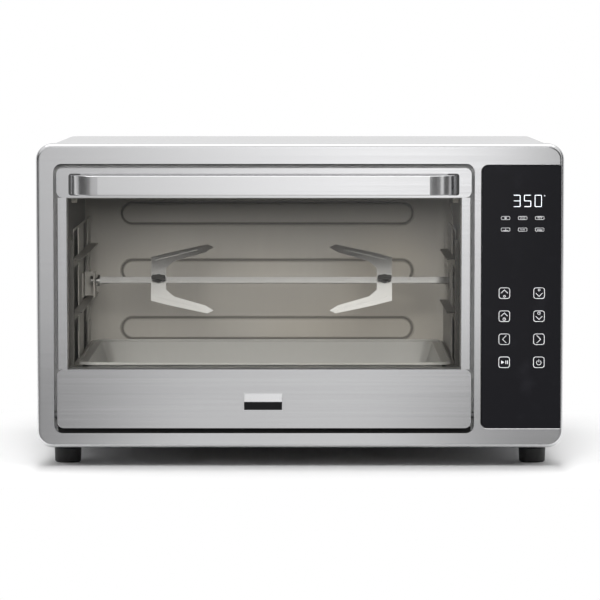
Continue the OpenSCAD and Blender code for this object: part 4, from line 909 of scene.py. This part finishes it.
class OVEN_OT_keys(Operator):
    """Model the touch keys: eight outlines with their signs"""

    bl_idname = "oven.keys"
    bl_label = "Touch keys"

    def execute(self, context):
        size, sign = context.scene.oven_panel, context.scene.oven_signs
        box = outline(size.key_side, size.key_side, size.key_corner, size.line)
        point = chevron(sign.point_span, size.line)
        arrow = chevron(sign.arrow_span, size.line)
        degree = ring(sign.degree_radius, sign.degree_line)
        clock = clock_mark(sign.clock_radius, sign.clock_line)
        play = play_mark(sign.play_size)
        pause = bar(sign.pause_width, sign.pause_height)
        power = power_mark(sign.power_radius, size.line)
        up, down = (point, 0, sign.point_off, 0), (point, 0, -sign.point_off, 180)
        signs = [
            [up, (degree, 0, -sign.degree_off, 0)],
            [down, (degree, 0, sign.degree_off, 0)],
            [up, (clock, 0, -sign.clock_off, 0)],
            [down, (clock, 0, sign.clock_off, 0)],
            [(arrow, 0, 0, 90)],
            [(arrow, 0, 0, -90)],
            [(play, -sign.play_left, 0, 0), (pause, sign.pause_near, 0, 0),
             (pause, sign.pause_far, 0, 0)],
            [(power, 0, -sign.power_down, 0)],
        ]
        frames, marks = [], []
        for index, strokes in enumerate(signs):
            x = size.key_left + (index % 2) * size.key_pitch
            y = -size.key_down - (index // 2) * size.key_row
            frames.append(copied(box, x, y))
            marks.extend(copied(part, x + right, y + rise, turn) for part, right, rise, turn in strokes)
        remove(box, point, arrow, degree, clock, play, pause, power)
        ink = panel_ink("key_ink", context.scene.oven_colours.mark_white, 0.2)
        deliver(printed(frames, size.ink), "key_outlines", "oven", "control_black_glass", ink)
        deliver(printed(marks, size.ink), "key_signs", "oven", "control_black_glass", ink)
        return {"FINISHED"}


class OVEN_OT_screws(Operator):
    """Model the cross-recessed screws of the rear panel"""

    bl_idname = "oven.screws"
    bl_label = "Rear screws"

    def execute(self, context):
        size = context.scene.oven_screws
        low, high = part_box("case_screws")
        radius = size.head_radius
        clear_selection()
        bpy.ops.mesh.primitive_cylinder_add(vertices=40, radius=radius, depth=size.head_height,
                                            location=(0, 0, size.head_height / 2))
        screw = settle(bpy.context.object)
        edit_faces(screw, lambda middle, normal: normal.z > FACING)
        bpy.ops.mesh.bevel(offset=0.45 * size.head_height, segments=5, affect="EDGES")
        object_mode()
        edit_faces(screw, lambda middle, normal: normal.z < -FACING)
        bpy.ops.mesh.inset(thickness=radius - size.shank_radius)
        bpy.ops.mesh.extrude_region_move(TRANSFORM_OT_translate={"value": (0, 0, -size.shank_length)})
        object_mode()
        for turn in (0, 90):
            clear_selection()
            bpy.ops.mesh.primitive_cube_add(size=1, location=(0, 0, size.head_height),
                                            rotation=(0, 0, math.radians(turn)))
            arm = bpy.context.object
            arm.scale = (size.recess_span, size.recess, 2 * size.recess_depth)
            settle(arm)
            apply_modifier(screw, "BOOLEAN", operation="DIFFERENCE", object=arm, solver="EXACT")
            remove(arm)
        pick(screw)
        bpy.ops.object.shade_smooth_by_angle(angle=math.radians(35))
        copies = [copied(screw, x, z) for x in (low.x + radius, 0, high.x - radius)
                  for z in (low.z + radius, high.z - radius)]
        remove(screw)
        screws = joined(copies)
        screws.rotation_euler = (math.radians(-90), 0, 0)
        settle(screws)
        edit_all(screws)
        bpy.ops.transform.mirror(constraint_axis=(False, False, True), center_override=(0, 0, 0))
        bpy.ops.mesh.normals_make_consistent(inside=False)
        object_mode()
        screws.location = (0, REAR_Y, 0)
        settle(screws)
        finish = plated_steel("screw_zinc", SLOT_COLOUR["zinc_steel"], 0.32)
        deliver(screws, "rear_screws", "oven", "zinc_steel", finish)
        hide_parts("case_screws")
        return {"FINISHED"}


class OVEN_OT_stage(Operator):
    """Set up the floor, the lamps, the light from all round and the camera"""

    bl_idname = "oven.stage"
    bl_label = "Stage"

    # Place, aim and size of each lamp
    TOP_LAMP = ((0, -0.1, 1.9), (0, 0, 0), (2.2, 1.5))
    FRONT_LAMP = ((-0.15, -2.7, 0.70), (0, -0.1, 0.15), (1.4, 0.56))
    # Place, turn in degrees and size of each sheet
    WALL_CARD = ((0, -3.8, 1.2), (90, 0, 0), (5.0, 2.6))
    STRIP_CARD = ((1.76, -1.38, 0.9), (90, 0, 54), (0.5, 2.0))
    BROW_CARD = ((0, -1.2, 1.75), (90, 0, 0), (5.0, 1.9))
    FLOOR_CARD = ((0, -2.0, 4 * MM), (0, 0, 0), (5.0, 3.6))
    CLOTH = ((0, FRAME_LOW.y - 2.2, 3 * MM), (0, 0, 0), (12.0, 4.0))
    # Y at which the far end of the lying card stops and its near end starts
    FAR_STOP, NEAR_START = -2.2, -0.7
    # Height of each flag, height from which it is dense, and place behind the front frame's face
    FLAGS = {"flag": (FRAME_LOW.z, 4.5 * MM, 3 * MM), "gauze": (13 * MM, 8 * MM, -38 * MM)}
    BLACK, MATT = (0.01, 0.01, 0.01), 0.9
    # Directions between which the room turns from dim to bright, towards the back and upwards
    TO_BACK, UPWARDS = (-0.1, 0.5), (0.25, 0.75)
    SENSOR = 36.0  # millimetres

    def execute(self, context):
        stage = context.scene.oven_stage
        self.lay_floor(stage)
        self.light_world(stage)
        self.hang_lamp("top_lamp", *self.TOP_LAMP, stage.top_power)
        front = self.hang_lamp("front_lamp", *self.FRONT_LAMP, stage.front_power)
        front.visible_glossy = False
        wall = ((-0.6, stage.wall_left), (0.0, stage.wall_middle), (0.34, stage.wall_right),
                (0.58, stage.wall_end))
        near = ((-0.30, stage.near_left), (-0.09, stage.near_middle), (0.06, stage.near_middle),
                (0.25, stage.near_right))
        far = ((-0.42, stage.far_left), (0.28, stage.far_right), (0.46, stage.far_end))
        self.set_card("wall_card", self.WALL_CARD, wall)
        self.set_card("strip_card", self.STRIP_CARD, ((0, stage.strip),))
        self.set_card("brow_card", self.BROW_CARD, ((0, stage.brow),))
        self.set_card("floor_card", self.FLOOR_CARD, near, far)
        self.set_flags()
        self.lay_cloth()
        self.set_camera(stage)
        context.scene.view_settings.view_transform = "Standard"
        return {"FINISHED"}

    def lay_floor(self, stage):
        """Pale paper that takes the oven's shadow and turns white further out."""
        clear_selection()
        bpy.ops.mesh.primitive_plane_add(size=stage.floor_size)
        floor = bpy.context.object
        floor.name = "floor"
        finish = new_finish("floor_paper")
        across = (finish.along("X").size() - cad_high.x).larger(0.0)
        along = (finish.along("Y").size() - cad_high.y).larger(0.0)
        away = (across * across + along * along) ** 0.5
        far = finish.between(away, 0.0, stage.shadow_reach) * self.direct_rays(finish)
        paper = finish.add("ShaderNodeBsdfDiffuse", None, {"Color": rgba(stage.floor)})
        white = finish.add("ShaderNodeEmission", None, {"Color": rgba((1, 1, 1)), "Strength": 1.0})
        shader = finish.add("ShaderNodeMixShader", None, {0: far, 1: paper, 2: white})
        floor.data.materials.append(finish.end(shader))

    def direct_rays(self, finish):
        """1 where the camera looks at the stage, also through a pane."""
        straight = finish.add("ShaderNodeLightPath", output="Is Camera Ray")
        return straight.larger(finish.add("ShaderNodeLightPath", output="Is Transmission Ray"))

    def light_world(self, stage):
        """A white room that is dimmer behind the camera."""
        world = bpy.data.worlds.new("studio")
        bpy.context.scene.world = world
        finish = Finish(world)
        way = finish.add("ShaderNodeTexCoord", output="Generated")
        behind = finish.between(finish.add("ShaderNodeSeparateXYZ", None, {0: way}, "Y"), *self.TO_BACK)
        above = finish.between(finish.add("ShaderNodeSeparateXYZ", None, {0: way}, "Z"), *self.UPWARDS)
        lit = stage.front_level + (stage.back_level - stage.front_level) * behind.larger(above)
        sockets = {"Color": rgba((1, 1, 1)), "Strength": lit.larger(self.direct_rays(finish))}
        finish.end(finish.add("ShaderNodeBackground", None, sockets))

    def stand_sheet(self, name, place, turn, size):
        """A flat sheet of the stage that the camera does not see."""
        sheet = bar(*size)
        sheet.name = name
        sheet.location = place
        sheet.rotation_euler = [math.radians(angle) for angle in turn]
        settle(sheet)
        sheet.visible_camera = False
        sheet.visible_transmission = False
        return sheet

    def set_card(self, name, sheet, stops, far_stops=None):
        """A card that only reflections see. Each stop is a place along X and the brightness there, at
        the near end and, if it differs, at the far end."""
        card = self.stand_sheet(name, *sheet)
        finish = new_finish(name)
        across = finish.along("X")
        glow = self.ramp(finish, across, stops)
        if far_stops:
            near = finish.between(finish.along("Y"), self.FAR_STOP, self.NEAR_START)
            glow = near * glow + (1.0 - near) * self.ramp(finish, across, far_stops)
        shader = finish.add("ShaderNodeEmission", None, {"Color": rgba((1, 1, 1)), "Strength": glow})
        card.data.materials.append(finish.end(shader))
        card.visible_diffuse = False
        card.visible_shadow = False

    def ramp(self, finish, across, stops):
        """Brightness that runs smoothly from stop to stop."""
        glow = stops[0][1]
        for (start, before), (end, after) in zip(stops, stops[1:]):
            glow = glow + finish.between(across, start, end, 0.0, after - before)
        return glow

    def set_flags(self):
        """Two low black flags of gauze that thin out towards the floor: one keeps the light from
        shining under the oven, and one before it softens the shadow there."""
        wide = cad_high.x - cad_low.x
        for name, (tall, dense, behind) in self.FLAGS.items():
            flag = self.stand_sheet(name, (0, FRAME_LOW.y + behind, tall / 2), (90, 0, 0), (wide, tall))
            finish = new_finish(name + "_cloth")
            gauze = finish.surface({
                "Base Color": rgba(self.BLACK),
                "Roughness": self.MATT,
                "Alpha": finish.between(finish.along("Z"), 0.0, dense),
            })
            flag.data.materials.append(gauze)
            flag.visible_glossy = False

    def lay_cloth(self):
        """A black cloth on the floor in front that keeps the floor's light out of the oven."""
        cloth = self.stand_sheet("cloth", *self.CLOTH)
        cloth.data.materials.append(moulded_plastic("floor_cloth", self.BLACK, self.MATT))
        cloth.visible_shadow = False

    def hang_lamp(self, name, place, aim, size, power):
        """A soft box that the camera does not see."""
        lamp = bpy.data.lights.new(name, "AREA")
        lamp.shape = "RECTANGLE"
        lamp.size, lamp.size_y = size
        lamp.energy = power
        obj = bpy.data.objects.new(name, lamp)
        bpy.context.scene.collection.objects.link(obj)
        obj.location = place
        obj.rotation_mode = "QUATERNION"
        obj.rotation_quaternion = (Vector(aim) - Vector(place)).to_track_quat("-Z", "Y")
        obj.visible_camera = False
        return obj

    def set_camera(self, stage):
        """A camera in front of the oven, a little above it."""
        data = bpy.data.cameras.new("camera")
        data.sensor_width = self.SENSOR
        data.lens = stage.focal
        camera = bpy.data.objects.new("camera", data)
        bpy.context.scene.collection.objects.link(camera)
        camera.location = (0, FRAME_LOW.y - stage.camera_back, stage.camera_height)
        aim = Vector((0, FRAME_LOW.y, stage.aim_height))
        camera.rotation_mode = "QUATERNION"
        camera.rotation_quaternion = (aim - camera.location).to_track_quat("-Z", "Y")
        bpy.context.scene.camera = camera


class OVEN_PT_sidebar(Panel):
    """Lists the steps that dress the oven"""

    bl_idname = "OVEN_PT_sidebar"
    bl_label = "Toaster oven"
    bl_space_type = "VIEW_3D"
    bl_region_type = "UI"
    bl_category = "Oven"

    def draw(self, context):
        for operator in OPERATORS:
            self.layout.operator(operator.bl_idname)
        for name in SETTINGS:
            group = getattr(context.scene, name)
            box = self.layout.box()
            for key in group.__annotations__:
                box.prop(group, key)


OPERATORS = (OVEN_OT_finishes, OVEN_OT_badge, OVEN_OT_digits, OVEN_OT_modes, OVEN_OT_keys, OVEN_OT_screws,
             OVEN_OT_stage)
SETTINGS = {"oven_colours": OvenColours, "oven_badge": OvenBadge, "oven_panel": OvenTouchPanel,
            "oven_signs": OvenKeySigns, "oven_screws": OvenScrews, "oven_stage": OvenStage}


def register():
    for item in (*SETTINGS.values(), *OPERATORS, OVEN_PT_sidebar):
        bpy.utils.register_class(item)
    for name, group in SETTINGS.items():
        setattr(bpy.types.Scene, name, PointerProperty(type=group))


def unregister():
    for name in SETTINGS:
        delattr(bpy.types.Scene, name)
    for item in reversed((*SETTINGS.values(), *OPERATORS, OVEN_PT_sidebar)):
        bpy.utils.unregister_class(item)


def main():
    register()
    bpy.ops.oven.finishes()
    bpy.ops.oven.badge()
    bpy.ops.oven.digits()
    bpy.ops.oven.modes()
    bpy.ops.oven.keys()
    bpy.ops.oven.screws()
    bpy.ops.oven.stage()


if __name__ == "__main__":
    main()
